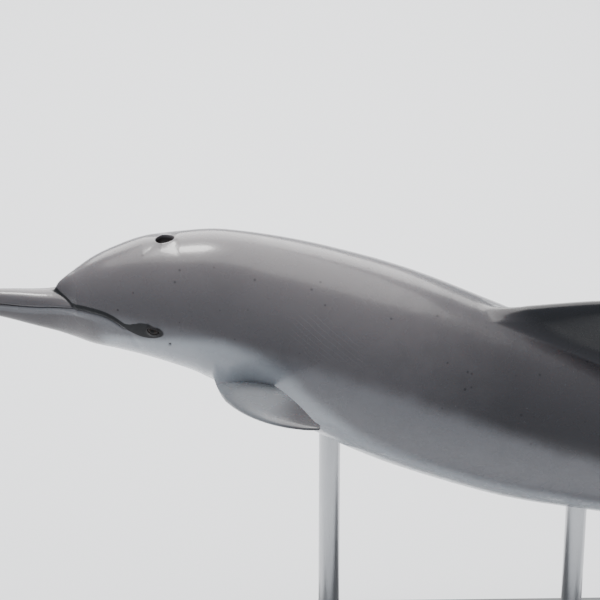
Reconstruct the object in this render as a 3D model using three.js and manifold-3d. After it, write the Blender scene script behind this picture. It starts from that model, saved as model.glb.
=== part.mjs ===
// Bottlenose dolphin, life size, in the pose of an animal that breaks the surface:
// head level, back arched, tail stock running down.  It is held by a two-rod display stand.
// Millimetres, +Z up, floor at z = 0.  The head points to -X, the animal's left side to -Y.
// A station is the distance along the body axis from the tip of the upper jaw.
// An angle round the body is measured from the back line, positive toward the left side.

import * as THREE from 'three';
import { mergeVertices } from 'three/addons/utils/BufferGeometryUtils.js';
import Module from 'manifold-3d';

const wasm = await Module();
wasm.setup();

// ---------------------------------------------------------------- driving dimensions

const LENGTH = 2500; // tip of the upper jaw to the notch of the flukes
const TRUNK_STATION = 1080; // station that stands above the middle of the stand
const TRUNK_HEIGHT = 800; // height of the body axis at that station
const GAP = 0.3; // clearance between neighbouring solids

const CREASE = 148; // top of the crease between beak and melon
const CREASE_SIDE = 192; // where the crease runs out at the mouth line
const GAPE = 296; // corner of the mouth
const JAW_HINGE = 372; // rear end of the lower jaw at the throat
const SNOUT_ROUND = 26; // length over which the beak rounds off
const CHIN_LEAD = 6; // how far the lower jaw runs ahead of the upper one

const EYE = { station: 360, angle: 86, radius: 15, bulge: 4.5 };
const BLOWHOLE = { station: 352, width: 36, length: 30, depth: 20 };

const RODS = { stations: [760, 1370], radius: 24, sides: 16, depth: 90 };
const FLANGE = { radius: 58, thickness: 12, collar: 34, collarHeight: 42 };
const SCREW = { radius: 6, height: 4, circle: 46, count: 4 };
const BASE = { length: 1080, width: 500, thickness: 24, corner: 60, bevel: 3 };

const BODY_SIDES = 32;
const BODY_RINGS = 52;

// Pitch of the axis in degrees, positive where the body runs down toward the tail.
const PITCH = [
  [0, -1], [200, 0], [400, 9], [600, 18], [800, 22], [1300, 22], [1750, 21], [2150, 13], [2500, 2],
];

// Half depth above the axis.
const BACK = [
  [140, 24], [150, 44], [165, 59], [190, 76.5], [225, 102], [275, 130], [320, 152], [370, 166],
  [450, 187], [560, 198], [740, 210], [900, 214], [1060, 207], [1230, 196], [1430, 176],
  [1640, 148], [1850, 114], [2060, 80], [2220, 58], [2360, 38], [2500, 13],
];

// Half depth below the axis.
const BELLY = [
  [0, 25], [40, 38], [90, 56], [150, 75], [220, 94], [290, 101], [350, 108], [430, 121],
  [540, 144], [720, 186], [900, 211], [1060, 214], [1230, 206], [1430, 179], [1640, 142],
  [1850, 103], [2060, 68], [2220, 48], [2360, 32], [2500, 13],
];

// Half width.
const SIDE = [
  [0, 22.5], [50, 25.5], [100, 28.5], [148, 36], [180, 52], [230, 84], [290, 109], [348, 127],
  [440, 146], [540, 164], [720, 190], [900, 203], [1060, 205], [1230, 196], [1430, 168],
  [1640, 130], [1850, 88], [2060, 53], [2220, 34], [2360, 22], [2500, 9],
];

// Depth of the upper jaw above the axis, and height of the mouth line.
const JAW_TOP = [[0, 34], [60, 31], [110, 28], [148, 28], [230, 38]];
const MOUTH = [
  [-40, 11], [0, 11], [26, 10], [58, 6], [90, 3], [125, 3], [150, 5], [178, 10.5], [200, 14.5],
  [222, 17], [254, 16], [280, 7], [296, -2],
];

// Exponent of the rounded section under the axis: above 2 is fuller, below 2 is keeled.
const UNDERSIDE = [[0, 2.3], [200, 2.2], [348, 2.1], [600, 2.05], [1500, 1.95], [2200, 1.8]];

// Fins: distance out along the span, leading edge, trailing edge and greatest thickness.
const DORSAL = {
  station: 1046,
  root: 130,
  sections: [
    [0, 0, 390, 56], [20, 34, 386, 50], [45, 74, 381, 44], [80, 130, 375, 38], [120, 197, 372, 32],
    [160, 270, 377, 26], [195, 337, 390, 19], [220, 387, 411, 12], [236, 425, 434, 6],
  ],
  tip: [240, 439],
};

const FLIPPER = {
  station: 572,
  angle: 117,
  root: 60,
  twist: -25,
  sections: [
    [0, -58, 54, 38], [38, -58, 56, 34], [84, -56, 60, 29], [131, -49, 62, 24], [178, -36, 62, 19],
    [225, -15, 60, 13.5], [262, 10, 58, 9], [287, 33, 59, 6],
  ],
  tip: [300, 52],
};

// Direction from root to tip of each flipper, as on the left side: the right one is held lower.
const REACH = { left: [118, -272, 45], right: [124, -266, -20] };

const FLUKE = {
  station: 2270,
  sections: [
    [0, -20, 230, 44], [30, 14, 252, 38], [70, 50, 269, 31], [120, 93, 274, 25],
    [170, 138, 275, 19], [220, 188, 279, 13], [262, 236, 289, 8], [286, 270, 298, 5],
  ],
  tip: [299, 301],
};

// ------------------------------------------------------------------------ helpers

// Smooth curve through the rows of a table, held level outside its ends.
function curve(table) {
  const slopes = table.map((row, i) => {
    const before = table[Math.max(i - 1, 0)];
    const after = table[Math.min(i + 1, table.length - 1)];
    if (before === row || after === row) return (after[1] - before[1]) / (after[0] - before[0]);
    const left = (row[1] - before[1]) / (row[0] - before[0]);
    const right = (after[1] - row[1]) / (after[0] - row[0]);
    const weight = (row[0] - before[0]) / (after[0] - before[0]);
    return left + (right - left) * weight;
  });
  return (at) => {
    const x = THREE.MathUtils.clamp(at, table[0][0], table[table.length - 1][0]);
    let i = 0;
    while (i < table.length - 2 && x > table[i + 1][0]) i += 1;
    const span = table[i + 1][0] - table[i][0];
    const t = (x - table[i][0]) / span;
    const rise = table[i + 1][1] - table[i][1];
    const first = slopes[i] * span - rise;
    const last = rise - slopes[i + 1] * span;
    return table[i][1] + t * rise + t * (1 - t) * ((1 - t) * first + t * last);
  };
}

const pitchAt = curve(PITCH);
const backAt = curve(BACK);
const bellyAt = curve(BELLY);
const sideAt = curve(SIDE);
const jawTopAt = curve(JAW_TOP);
const mouthAt = curve(MOUTH);
const undersideAt = curve(UNDERSIDE);

// Radius of a rounded section with half sizes across and deep, in the direction of the angle.
function rounded(across, deep, power, angle) {
  const a = Math.abs(Math.sin(angle)) / across;
  const b = Math.abs(Math.cos(angle)) / deep;
  return (a ** power + b ** power) ** (-1 / power);
}

// The larger of two lengths, with the step between them rounded off.
function softMax(a, b, softness) {
  return 0.5 * (a + b + Math.sqrt((a - b) ** 2 + softness ** 2));
}

// Radius of the body at a station, in the direction of the angle.
function bodyRadius(station, angle) {
  const side = sideAt(station);
  const cap = station < SNOUT_ROUND
    ? (1 - (1 - station / SNOUT_ROUND) ** 2.3) ** (1 / 2.3)
    : 1;
  if (Math.cos(angle) < 0) {
    return cap * rounded(side, bellyAt(station), undersideAt(station), angle);
  }
  const melonStart = CREASE - 16;
  const sink = 30 * THREE.MathUtils.clamp((station - CREASE - 45) / 60, 0, 1);
  const jaw = rounded(side, jawTopAt(station), 2.4, angle) - sink;
  if (station <= melonStart) return cap * jaw;
  const spread = Math.min((station - melonStart) / 60, 1) ** 0.75;
  const top = station < CREASE - 7 ? 1 : backAt(station);
  const melon = rounded(side * spread, top, 2, angle);
  const blend = THREE.MathUtils.smoothstep(station, CREASE + 60, CREASE + 115);
  return THREE.MathUtils.lerp(softMax(jaw, melon, 5), melon, blend);
}

// Axis of the body: place and pitch at each whole step, summed from the pitch curve.
const AXIS_STEP = 5;
const axis = [];
for (let x = 0, z = 0, s = 0; s <= LENGTH + AXIS_STEP; s += AXIS_STEP) {
  const pitch = THREE.MathUtils.degToRad(pitchAt(s));
  axis.push({ x, z, pitch });
  x += AXIS_STEP * Math.cos(pitch);
  z -= AXIS_STEP * Math.sin(pitch);
}

// Point and pitch of the axis at a station, with the stand's middle as the origin.
function axisAt(station) {
  const read = (s) => {
    const i = THREE.MathUtils.clamp(Math.floor(s / AXIS_STEP), 0, axis.length - 2);
    const t = s / AXIS_STEP - i;
    const mix = (key) => THREE.MathUtils.lerp(axis[i][key], axis[i + 1][key], t);
    return { x: mix('x'), z: mix('z'), pitch: mix('pitch') };
  };
  const here = read(station);
  const trunk = read(TRUNK_STATION);
  return { x: here.x - trunk.x, z: here.z - trunk.z + TRUNK_HEIGHT, pitch: here.pitch };
}

// World point at a station, offset to the animal's right and up from the axis.
function bodyPoint(station, right, up) {
  const at = axisAt(station);
  return new THREE.Vector3(at.x + up * Math.sin(at.pitch), right, at.z + up * Math.cos(at.pitch));
}

// World point of the body's surface; grow moves it outward.
function surfacePoint(station, angle, grow = 0) {
  const radius = Math.max(bodyRadius(station, angle) + grow, 0);
  const chin = THREE.MathUtils.smoothstep(-Math.cos(angle), -0.1, 0.3);
  const lead = CHIN_LEAD * chin * Math.max(1 - station / 60, 0);
  return bodyPoint(station - lead, -radius * Math.sin(angle), radius * Math.cos(angle));
}

// Closed solid from a sphere whose rings are moved to where the function says.
// The first and last rings are the two poles, a single point each.
function shapedSphere(sides, rings, place) {
  const geometry = new THREE.SphereGeometry(1, sides, rings);
  const position = geometry.getAttribute('position');
  for (let i = 0; i < position.count; i += 1) {
    const ring = Math.floor(i / (sides + 1));
    const turn = (i % (sides + 1)) / sides;
    const point = place(ring, (turn % 1) * 2 * Math.PI);
    position.setXYZ(i, point.x, point.y, point.z);
  }
  return geometry;
}

// Manifold solid of a three.js geometry, turned right side out.
function solid(geometry) {
  const plain = new THREE.BufferGeometry();
  plain.setAttribute('position', geometry.getAttribute('position').clone());
  if (geometry.index) plain.setIndex(geometry.index.clone());
  const merged = mergeVertices(plain, 1e-4);
  const triVerts = new Uint32Array(merged.index.array);
  const vertProperties = new Float32Array(merged.getAttribute('position').array);
  const made = new wasm.Manifold(new wasm.Mesh({ numProp: 3, vertProperties, triVerts }));
  if (made.volume() > 0) return made;
  for (let i = 0; i < triVerts.length; i += 3) {
    [triVerts[i], triVerts[i + 1]] = [triVerts[i + 1], triVerts[i]];
  }
  return new wasm.Manifold(new wasm.Mesh({ numProp: 3, vertProperties, triVerts }));
}

// Named mesh of a manifold solid.
function part(name, shape, look) {
  const mesh = shape.getMesh();
  const geometry = new THREE.BufferGeometry();
  geometry.setAttribute('position', new THREE.BufferAttribute(mesh.vertProperties, 3));
  geometry.setIndex(new THREE.BufferAttribute(mesh.triVerts, 1));
  geometry.computeVertexNormals();
  const node = new THREE.Mesh(geometry, new THREE.MeshStandardMaterial(look));
  node.name = name;
  return node;
}

// Thin sheet that cuts the body right across, along a line of [station, up] points.
function cutSheet(points) {
  const line = points.map(([station, up]) => bodyPoint(station, 0, up));
  const outline = new THREE.Shape();
  const edge = (side) => line.map((point, i) => {
    const ahead = line[Math.min(i + 1, line.length - 1)];
    const behind = line[Math.max(i - 1, 0)];
    const along = new THREE.Vector2(ahead.x - behind.x, ahead.z - behind.z).normalize();
    const offset = side * GAP * 0.5;
    return new THREE.Vector2(point.x - along.y * offset, point.z + along.x * offset);
  });
  outline.setFromPoints([...edge(1), ...edge(-1).reverse()]);
  const reach = 400;
  const sheet = new THREE.ExtrudeGeometry(outline, { depth: 2 * reach, bevelEnabled: false });
  sheet.rotateX(Math.PI / 2);
  sheet.translate(0, reach, 0);
  return solid(sheet);
}

// ------------------------------------------------------------------------- the body

// Stations of the rings: close together on the beak and head, wider apart on the trunk.
function ringStation(ring) {
  const t = ring / BODY_RINGS;
  const spread = curve([[0, 0], [0.08, 12], [0.16, 70], [0.3, 165], [0.45, 330], [0.62, 700], [1, 2440]]);
  return spread(t);
}

function bodySolid(grow) {
  const tail = ringStation(BODY_RINGS);
  return solid(shapedSphere(BODY_SIDES, BODY_RINGS, (ring, turn) => {
    if (ring === 0) return bodyPoint(-grow, 0, 0);
    if (ring === BODY_RINGS) return bodyPoint(tail + grow, 0, 0);
    const angle = Math.PI / 2 - turn;
    return surfacePoint(ringStation(ring), angle, grow);
  }));
}

// --------------------------------------------------------------------------- fins

// Half thickness of a streamlined section, from 0 at the leading edge to 1 at the trailing one.
function streamlined(x) {
  return 5 * (0.2969 * Math.sqrt(x) - 0.126 * x - 0.3516 * x ** 2 + 0.2843 * x ** 3 - 0.1036 * x ** 4);
}

// Fin from its sections, in a frame of chord (toward the trailing edge), span and side vectors.
function finSolid(fin, origin, chord, span, side) {
  const sides = 14;
  const sections = [[-fin.root, ...fin.sections[0].slice(1)], ...fin.sections];
  const at = (out, along, across) => origin.clone()
    .addScaledVector(span, out)
    .addScaledVector(chord, along)
    .addScaledVector(side, across);
  return solid(shapedSphere(sides, sections.length + 1, (ring, turn) => {
    if (ring === 0) return at(sections[0][0], 0.5 * (sections[0][1] + sections[0][2]), 0);
    if (ring === sections.length + 1) return at(fin.tip[0], fin.tip[1], 0);
    const [out, lead, trail, thickness] = sections[ring - 1];
    const x = 0.5 * (1 - Math.cos(turn));
    const half = thickness * streamlined(x) + 0.8 * Math.abs(Math.sin(turn));
    return at(out, lead + (trail - lead) * x, Math.sign(Math.sin(turn)) * (x > 0 && x < 1 ? half : 0));
  }));
}

// Directions along the body, up from the back and to the right, at a station.
function bodyFrame(station) {
  const { pitch } = axisAt(station);
  return {
    aft: new THREE.Vector3(Math.cos(pitch), 0, -Math.sin(pitch)),
    up: new THREE.Vector3(Math.sin(pitch), 0, Math.cos(pitch)),
    right: new THREE.Vector3(0, 1, 0),
  };
}

function dorsalFin() {
  const rearStation = DORSAL.station + DORSAL.sections[0][2];
  const front = surfacePoint(DORSAL.station, 0);
  const rear = surfacePoint(rearStation, 0);
  const aft = rear.clone().sub(front).normalize();
  const { right } = bodyFrame(DORSAL.station);
  const up = right.clone().cross(aft).negate();
  return finSolid(DORSAL, front, aft, up, right);
}

// Flipper on the left side, pointing along the given direction.
function flipper(reach) {
  const root = surfacePoint(FLIPPER.station, THREE.MathUtils.degToRad(FLIPPER.angle));
  const span = new THREE.Vector3(...reach).normalize();
  const { aft } = bodyFrame(FLIPPER.station);
  const chord = aft.clone().addScaledVector(span, -aft.dot(span)).normalize();
  chord.applyAxisAngle(span, THREE.MathUtils.degToRad(-FLIPPER.twist));
  const side = span.clone().cross(chord);
  return finSolid(FLIPPER, root, chord, span, side);
}

function leftFluke() {
  const { aft, up, right } = bodyFrame(FLUKE.station + 110);
  const origin = bodyPoint(FLUKE.station, -GAP * 0.5, 0);
  return finSolid({ ...FLUKE, root: 0 }, origin, aft, right.clone().negate(), up);
}

// ------------------------------------------------------------------- head openings

function eyeCentre() {
  const angle = THREE.MathUtils.degToRad(EYE.angle);
  return surfacePoint(EYE.station, angle, EYE.bulge - EYE.radius);
}

function eyeball(grow) {
  const ball = new THREE.SphereGeometry(EYE.radius + grow, 12, 8);
  const centre = eyeCentre();
  ball.translate(centre.x, centre.y, centre.z);
  return solid(ball);
}

// The open blowhole: a half-round hole on the crown, flat side to the front.
function blowholeCavity() {
  const outline = new THREE.Shape();
  outline.absellipse(0, 0, BLOWHOLE.length, BLOWHOLE.width / 2, -Math.PI / 2, Math.PI / 2, false, 0);
  const rise = 10;
  const hole = new THREE.ExtrudeGeometry(outline, {
    depth: BLOWHOLE.depth + rise,
    bevelEnabled: false,
    curveSegments: 7,
  });
  const place = surfacePoint(BLOWHOLE.station, 0);
  const { pitch } = axisAt(BLOWHOLE.station);
  hole.translate(0, 0, -BLOWHOLE.depth);
  hole.rotateY(pitch);
  hole.translate(place.x, place.y, place.z);
  return solid(hole);
}

// ------------------------------------------------------------------------ the stand

function rodColumn(station, radius, from, to) {
  const column = new THREE.CylinderGeometry(radius, radius, to - from, RODS.sides);
  column.rotateX(Math.PI / 2);
  column.translate(axisAt(station).x, 0, (from + to) / 2);
  return column;
}

// Height at which a rod ends, inside the body.
function rodTop(station) {
  return surfacePoint(station, Math.PI).z + RODS.depth;
}

function baseGeometry() {
  const halfLength = BASE.length / 2 - BASE.bevel;
  const halfWidth = BASE.width / 2 - BASE.bevel;
  const corner = BASE.corner;
  const outline = new THREE.Shape();
  outline.moveTo(-halfLength + corner, -halfWidth);
  outline.lineTo(halfLength - corner, -halfWidth);
  outline.absarc(halfLength - corner, -halfWidth + corner, corner, -Math.PI / 2, 0, false);
  outline.absarc(halfLength - corner, halfWidth - corner, corner, 0, Math.PI / 2, false);
  outline.absarc(-halfLength + corner, halfWidth - corner, corner, Math.PI / 2, Math.PI, false);
  outline.absarc(-halfLength + corner, -halfWidth + corner, corner, Math.PI, 1.5 * Math.PI, false);
  const plate = new THREE.ExtrudeGeometry(outline, {
    depth: BASE.thickness - 2 * BASE.bevel,
    bevelThickness: BASE.bevel,
    bevelSize: BASE.bevel,
    bevelSegments: 1,
    curveSegments: 5,
  });
  plate.translate(0, 0, BASE.bevel);
  return plate;
}

// Foot of a rod: a round flange with a collar, as one turned piece, bored for the rod.
function flangeSolid(station) {
  const low = BASE.thickness + GAP;
  const high = low + FLANGE.collarHeight;
  const bore = RODS.radius + GAP;
  const profile = [
    [bore, low], [FLANGE.radius - 2, low], [FLANGE.radius, low + 2],
    [FLANGE.radius, low + FLANGE.thickness - 2], [FLANGE.radius - 2, low + FLANGE.thickness],
    [FLANGE.collar, low + FLANGE.thickness], [FLANGE.collar, high - 2], [FLANGE.collar - 2, high],
    [bore, high], [bore, low],
  ].map(([radius, height]) => new THREE.Vector2(radius, height));
  const ring = new THREE.LatheGeometry(profile, RODS.sides);
  ring.rotateX(Math.PI / 2);
  ring.translate(axisAt(station).x, 0, 0);
  return solid(ring);
}

function screwGeometry(station, index) {
  const head = new THREE.CylinderGeometry(SCREW.radius - 1, SCREW.radius, SCREW.height, 6);
  const angle = (index + 0.5) * (2 * Math.PI / SCREW.count);
  head.rotateX(Math.PI / 2);
  head.translate(
    axisAt(station).x + SCREW.circle * Math.cos(angle),
    SCREW.circle * Math.sin(angle),
    BASE.thickness + GAP + FLANGE.thickness + GAP + SCREW.height / 2,
  );
  return head;
}

// ----------------------------------------------------------------------- the looks

const CAPE = { color: 0x56545a, roughness: 0.35, metalness: 0 };
const JAW = { color: 0x6b7079, roughness: 0.35, metalness: 0 };
const FLANK = { color: 0x66656a, roughness: 0.35, metalness: 0 };
const FIN = { color: 0x3a3b42, roughness: 0.35, metalness: 0 };
const EYE_LOOK = { color: 0x0c0a0a, roughness: 0.08, metalness: 0 };
const STEEL = { color: 0xa9adb1, roughness: 0.32, metalness: 1 };
const BASE_LOOK = { color: 0x2b2d30, roughness: 0.5, metalness: 0.2 };

// ----------------------------------------------------------------------- assembly

const model = new THREE.Group();
model.name = 'dolphin';

// Flesh: the whole body, opened for eyes, blowhole and rods, then parted by thin cuts.
const grown = bodySolid(GAP);
const leftSocket = eyeball(GAP);
let body = bodySolid(0)
  .subtract(leftSocket)
  .subtract(leftSocket.mirror([0, 1, 0]))
  .subtract(blowholeCavity());
for (const station of RODS.stations) {
  const bore = rodColumn(station, RODS.radius + GAP, 0, rodTop(station) + GAP);
  body = body.subtract(solid(bore));
}

const mouthStations = [-40, 0, 26, 58, 90, 125, 150, 178, 200, 222, 245, 265, 282, GAPE];
const mouthLine = mouthStations.map((station) => [station, mouthAt(station)]);
const jawRear = [[GAPE + 40, -40], [JAW_HINGE, -150], [JAW_HINGE + 20, -240]];
const creaseLine = [
  [CREASE - 22, 90], [CREASE - 6, 29], [CREASE + 14, 26], [CREASE + 30, 22],
  [CREASE_SIDE, mouthAt(CREASE_SIDE)],
];
const melonRear = [[GAPE + 16, 320], [GAPE + 24, 120], [GAPE + 12, 30], [GAPE, mouthAt(GAPE)]];
const straightCuts = [452, 560, 880, 1500, 1800, 2120];
const cuts = [
  cutSheet([...mouthLine, ...jawRear]),
  cutSheet(creaseLine),
  cutSheet(melonRear),
  ...straightCuts.map((station) => cutSheet([[station, -400], [station, 400]])),
];
body = cuts.reduce((rest, sheet) => rest.subtract(sheet), body);

const fleshNames = [
  ['upper_jaw', JAW], ['lower_jaw', JAW], ['melon', CAPE], ['head', CAPE], ['neck', CAPE],
  ['chest', FLANK], ['trunk', FLANK], ['loin', FLANK], ['tail_stock_front', FLANK],
  ['tail_stock_rear', FIN],
];
const middle = (shape) => {
  const box = shape.boundingBox();
  return box.min[0] + box.max[0];
};
const pieces = body.decompose().sort((a, b) => middle(a) - middle(b));
if (pieces.length !== fleshNames.length) {
  throw new Error(`the body came apart into ${pieces.length} pieces`);
}
pieces.forEach((piece, i) => model.add(part(fleshNames[i][0], piece, fleshNames[i][1])));

// Fins lie against the body with the same small gap.
const mirrored = (shape) => shape.mirror([0, 1, 0]);
const fins = [
  ['dorsal_fin', dorsalFin()],
  ['flipper_left', flipper(REACH.left)],
  ['flipper_right', mirrored(flipper(REACH.right))],
  ['fluke_left', leftFluke()],
  ['fluke_right', mirrored(leftFluke())],
];
fins.forEach(([name, shape]) => model.add(part(name, shape.subtract(grown), FIN)));

// Eyes.
const leftEye = eyeball(0);
model.add(part('eye_left', leftEye, EYE_LOOK));
model.add(part('eye_right', mirrored(leftEye), EYE_LOOK));

// Display stand.
model.add(part('stand_base', solid(baseGeometry()), BASE_LOOK));
RODS.stations.forEach((station, i) => {
  const name = ['front', 'rear'][i];
  const rod = rodColumn(station, RODS.radius, BASE.thickness + GAP, rodTop(station));
  model.add(part(`stand_rod_${name}`, solid(rod), STEEL));
  model.add(part(`stand_flange_${name}`, flangeSolid(station), STEEL));
  for (let k = 0; k < SCREW.count; k += 1) {
    model.add(part(`stand_screw_${name}_${k + 1}`, solid(screwGeometry(station, k)), STEEL));
  }
});

export default model;
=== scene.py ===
"""Bottlenose dolphin, life size, on a two-rod display stand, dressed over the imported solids.

Metres, +Z up, floor at z = 0, head toward -X and the animal's left side toward -Y.
A station is the distance along the body axis from the tip of the upper jaw.
An angle round the body is measured from the back line, positive toward the left side.
"""

import logging
import math
from bisect import bisect_right
from dataclasses import dataclass
from enum import Enum
from typing import Callable, Dict, List, Sequence, Tuple

import bmesh
import bpy
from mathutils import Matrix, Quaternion, Vector, noise

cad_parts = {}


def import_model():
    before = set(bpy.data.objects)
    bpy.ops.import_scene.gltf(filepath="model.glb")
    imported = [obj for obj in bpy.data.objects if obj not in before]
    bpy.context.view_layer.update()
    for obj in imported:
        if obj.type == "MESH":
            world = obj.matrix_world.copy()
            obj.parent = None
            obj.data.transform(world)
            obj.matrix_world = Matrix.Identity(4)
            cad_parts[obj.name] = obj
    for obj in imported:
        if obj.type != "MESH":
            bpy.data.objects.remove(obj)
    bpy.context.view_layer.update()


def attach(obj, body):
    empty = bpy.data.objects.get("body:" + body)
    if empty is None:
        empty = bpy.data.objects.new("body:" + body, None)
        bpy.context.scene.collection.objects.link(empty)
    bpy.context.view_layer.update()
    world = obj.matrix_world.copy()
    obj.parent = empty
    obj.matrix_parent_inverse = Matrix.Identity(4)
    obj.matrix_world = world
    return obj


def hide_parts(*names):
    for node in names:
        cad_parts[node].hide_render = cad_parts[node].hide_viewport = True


LOG = logging.getLogger("dolphin")
BODY = "root"
ROD_STATIONS = (0.760, 1.370)

Row = Tuple[float, ...]
Colour = Tuple[float, float, float]
Level = Callable[[float, float, Vector], Vector]


class Side(Enum):
    """The two sides of the animal, as the factor on a left-side Y."""

    LEFT = 1
    RIGHT = -1


def clamp(value: float, low: float = 0.0, high: float = 1.0) -> float:
    """Return the value held between two limits."""
    return max(low, min(high, value))


def smoothstep(value: float, low: float, high: float) -> float:
    """Return 0 below low, 1 above high, and an S-shaped rise between them."""
    t = clamp((value - low) / (high - low))
    return t * t * (3.0 - 2.0 * t)


def bump(value: float, centre: float, width: float) -> float:
    """Return a bell-shaped bump, 1 at the centre."""
    return math.exp(-(((value - centre) / width) ** 2))


def soft_max(a: float, b: float, width: float) -> float:
    """Return the larger of two values, rounded over a width where they meet."""
    return 0.5 * (a + b + math.sqrt((a - b) ** 2 + width**2))


class Curve:
    """Smooth curve through the rows of a table, held level outside its ends."""

    def __init__(self, rows: Sequence[Row]) -> None:
        """Keep the rows and work out the slope at each.

        Args:
            rows: (place, value) pairs in rising order of place.
        """
        self.places = [row[0] for row in rows]
        self.values = [row[1] for row in rows]
        count = len(rows)
        steps = [
            (self.values[i + 1] - self.values[i]) / (self.places[i + 1] - self.places[i])
            for i in range(count - 1)
        ]
        self.slopes = [steps[0]]
        for i in range(1, count - 1):
            before = self.places[i] - self.places[i - 1]
            after = self.places[i + 1] - self.places[i]
            weight = before / (before + after)
            self.slopes.append(steps[i - 1] + (steps[i] - steps[i - 1]) * weight)
        self.slopes.append(steps[-1])

    def __call__(self, at: float) -> float:
        """Return the value of the curve at a place.

        Args:
            at: the place to read.

        Returns:
            The value, that of the nearest end outside the table.
        """
        x = clamp(at, self.places[0], self.places[-1])
        i = min(max(bisect_right(self.places, x) - 1, 0), len(self.places) - 2)
        span = self.places[i + 1] - self.places[i]
        t = (x - self.places[i]) / span
        rise = self.values[i + 1] - self.values[i]
        first = self.slopes[i] * span - rise
        last = rise - self.slopes[i + 1] * span
        return self.values[i] + t * rise + t * (1 - t) * ((1 - t) * first + t * last)


@dataclass
class BodyShape:
    """The bare body: axis, rounded sections, beak, melon and mouth line.

    Attributes:
        length: from the upper jaw's tip to the flukes' notch.
        trunk_station, trunk_height: station over the origin, and height of the axis there.
        crease, gape: stations of the furrow before the melon and of the corner of the mouth.
        snout_...: length and fullness of the rounded tip.
        jaw_power, jaw_sink: fullness of the upper jaw, and how far it sinks under the melon.
        sink_...: from where behind the crease it sinks, and over what length.
        melon_...: starts before the crease, width, rounding and blend of the melon.
        crease_...: how the foot of the melon runs back at the side.
        chin_...: how far, from what depth and over what length the lower jaw stands forward.
        inset: how far the skin lies inside the solids.
        pitch: fall of the axis toward the tail, in degrees, by station.
        back, belly, side: height, depth and half width of the section, by station.
        jaw_top, mouth: height of the upper jaw and of the mouth line, by station.
        underside: fullness of the lower half of the section, by station.
        axis_step, thin: length of a step along the axis, and least height of the melon.
    """

    length: float = 2.500
    trunk_station: float = 1.080
    trunk_height: float = 0.800
    crease: float = 0.148
    gape: float = 0.296
    snout_round: float = 0.026
    snout_power: float = 2.3
    jaw_power: float = 2.4
    jaw_sink: float = 0.030
    sink_from: float = 0.045
    sink_over: float = 0.060
    melon_lead: float = 0.016
    melon_foot: float = 0.007
    melon_over: float = 0.060
    melon_power: float = 0.75
    melon_round: float = 0.005
    melon_blend: Tuple[float, float] = (0.060, 0.115)
    crease_lead: float = 0.006
    crease_sweep: float = 0.057
    crease_power: float = 1.29
    chin_lead: float = 0.0032
    chin_edge: float = 0.008
    chin_over: float = 0.060
    inset: float = 0.0005
    pitch: Sequence[Row] = (
        (0.0, -1), (0.2, 0), (0.4, 9), (0.6, 18), (0.8, 22), (1.3, 22), (1.75, 21),
        (2.15, 13), (2.5, 2),
    )
    back: Sequence[Row] = (
        (0.140, 0.024), (0.150, 0.044), (0.165, 0.059), (0.190, 0.0765), (0.225, 0.102),
        (0.275, 0.130), (0.320, 0.152), (0.370, 0.166), (0.450, 0.187), (0.560, 0.198),
        (0.740, 0.210), (0.900, 0.214), (1.060, 0.207), (1.230, 0.196), (1.430, 0.176),
        (1.640, 0.148), (1.850, 0.114), (2.060, 0.080), (2.220, 0.058), (2.360, 0.038),
        (2.500, 0.013),
    )
    belly: Sequence[Row] = (
        (0.000, 0.025), (0.040, 0.038), (0.090, 0.056), (0.150, 0.075), (0.220, 0.094),
        (0.290, 0.101), (0.350, 0.108), (0.430, 0.121), (0.540, 0.144), (0.720, 0.186),
        (0.900, 0.211), (1.060, 0.214), (1.230, 0.206), (1.430, 0.179), (1.640, 0.142),
        (1.850, 0.103), (2.060, 0.068), (2.220, 0.048), (2.360, 0.032), (2.500, 0.013),
    )
    side: Sequence[Row] = (
        (0.000, 0.0225), (0.050, 0.0255), (0.100, 0.0285), (0.148, 0.036), (0.180, 0.052),
        (0.230, 0.084), (0.290, 0.109), (0.348, 0.127), (0.440, 0.146), (0.540, 0.164),
        (0.720, 0.190), (0.900, 0.203), (1.060, 0.205), (1.230, 0.196), (1.430, 0.168),
        (1.640, 0.130), (1.850, 0.088), (2.060, 0.053), (2.220, 0.034), (2.360, 0.022),
        (2.500, 0.009),
    )
    jaw_top: Sequence[Row] = (
        (0.000, 0.034), (0.060, 0.031), (0.110, 0.028), (0.148, 0.028), (0.230, 0.038),
    )
    mouth: Sequence[Row] = (
        (-0.040, 0.011), (0.000, 0.011), (0.026, 0.010), (0.058, 0.006), (0.090, 0.003),
        (0.125, 0.003), (0.150, 0.005), (0.178, 0.0105), (0.200, 0.0145), (0.222, 0.017),
        (0.254, 0.016), (0.280, 0.007), (0.296, -0.002),
    )
    underside: Sequence[Row] = (
        (0.0, 2.3), (0.2, 2.2), (0.348, 2.1), (0.6, 2.05), (1.5, 1.95), (2.2, 1.8),
    )
    axis_step: float = 0.005
    thin: float = 0.001

    def __post_init__(self) -> None:
        """Turn the tables into curves and sum the pitch into the axis."""
        self.pitch_at = Curve(self.pitch)
        self.back_at = Curve(self.back)
        self.belly_at = Curve(self.belly)
        self.side_at = Curve(self.side)
        self.jaw_top_at = Curve(self.jaw_top)
        self.mouth_at = Curve(self.mouth)
        self.underside_at = Curve(self.underside)
        self.knots: List[Tuple[float, float, float]] = []
        x, z = 0.0, 0.0
        for step in range(int(self.length / self.axis_step) + 2):
            pitch = math.radians(self.pitch_at(step * self.axis_step))
            self.knots.append((x, z, pitch))
            x += self.axis_step * math.cos(pitch)
            z -= self.axis_step * math.sin(pitch)
        self.trunk = self._read(self.trunk_station)

    def _read(self, station: float) -> Row:
        """Return x, z and pitch of the bare axis at a station.

        Args:
            station: distance along the body axis.

        Returns:
            x, z and pitch, with the tip of the beak as the origin.
        """
        i = int(clamp(math.floor(station / self.axis_step), 0, len(self.knots) - 2))
        t = station / self.axis_step - i
        return tuple(a + (b - a) * t for a, b in zip(self.knots[i], self.knots[i + 1]))

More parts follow.
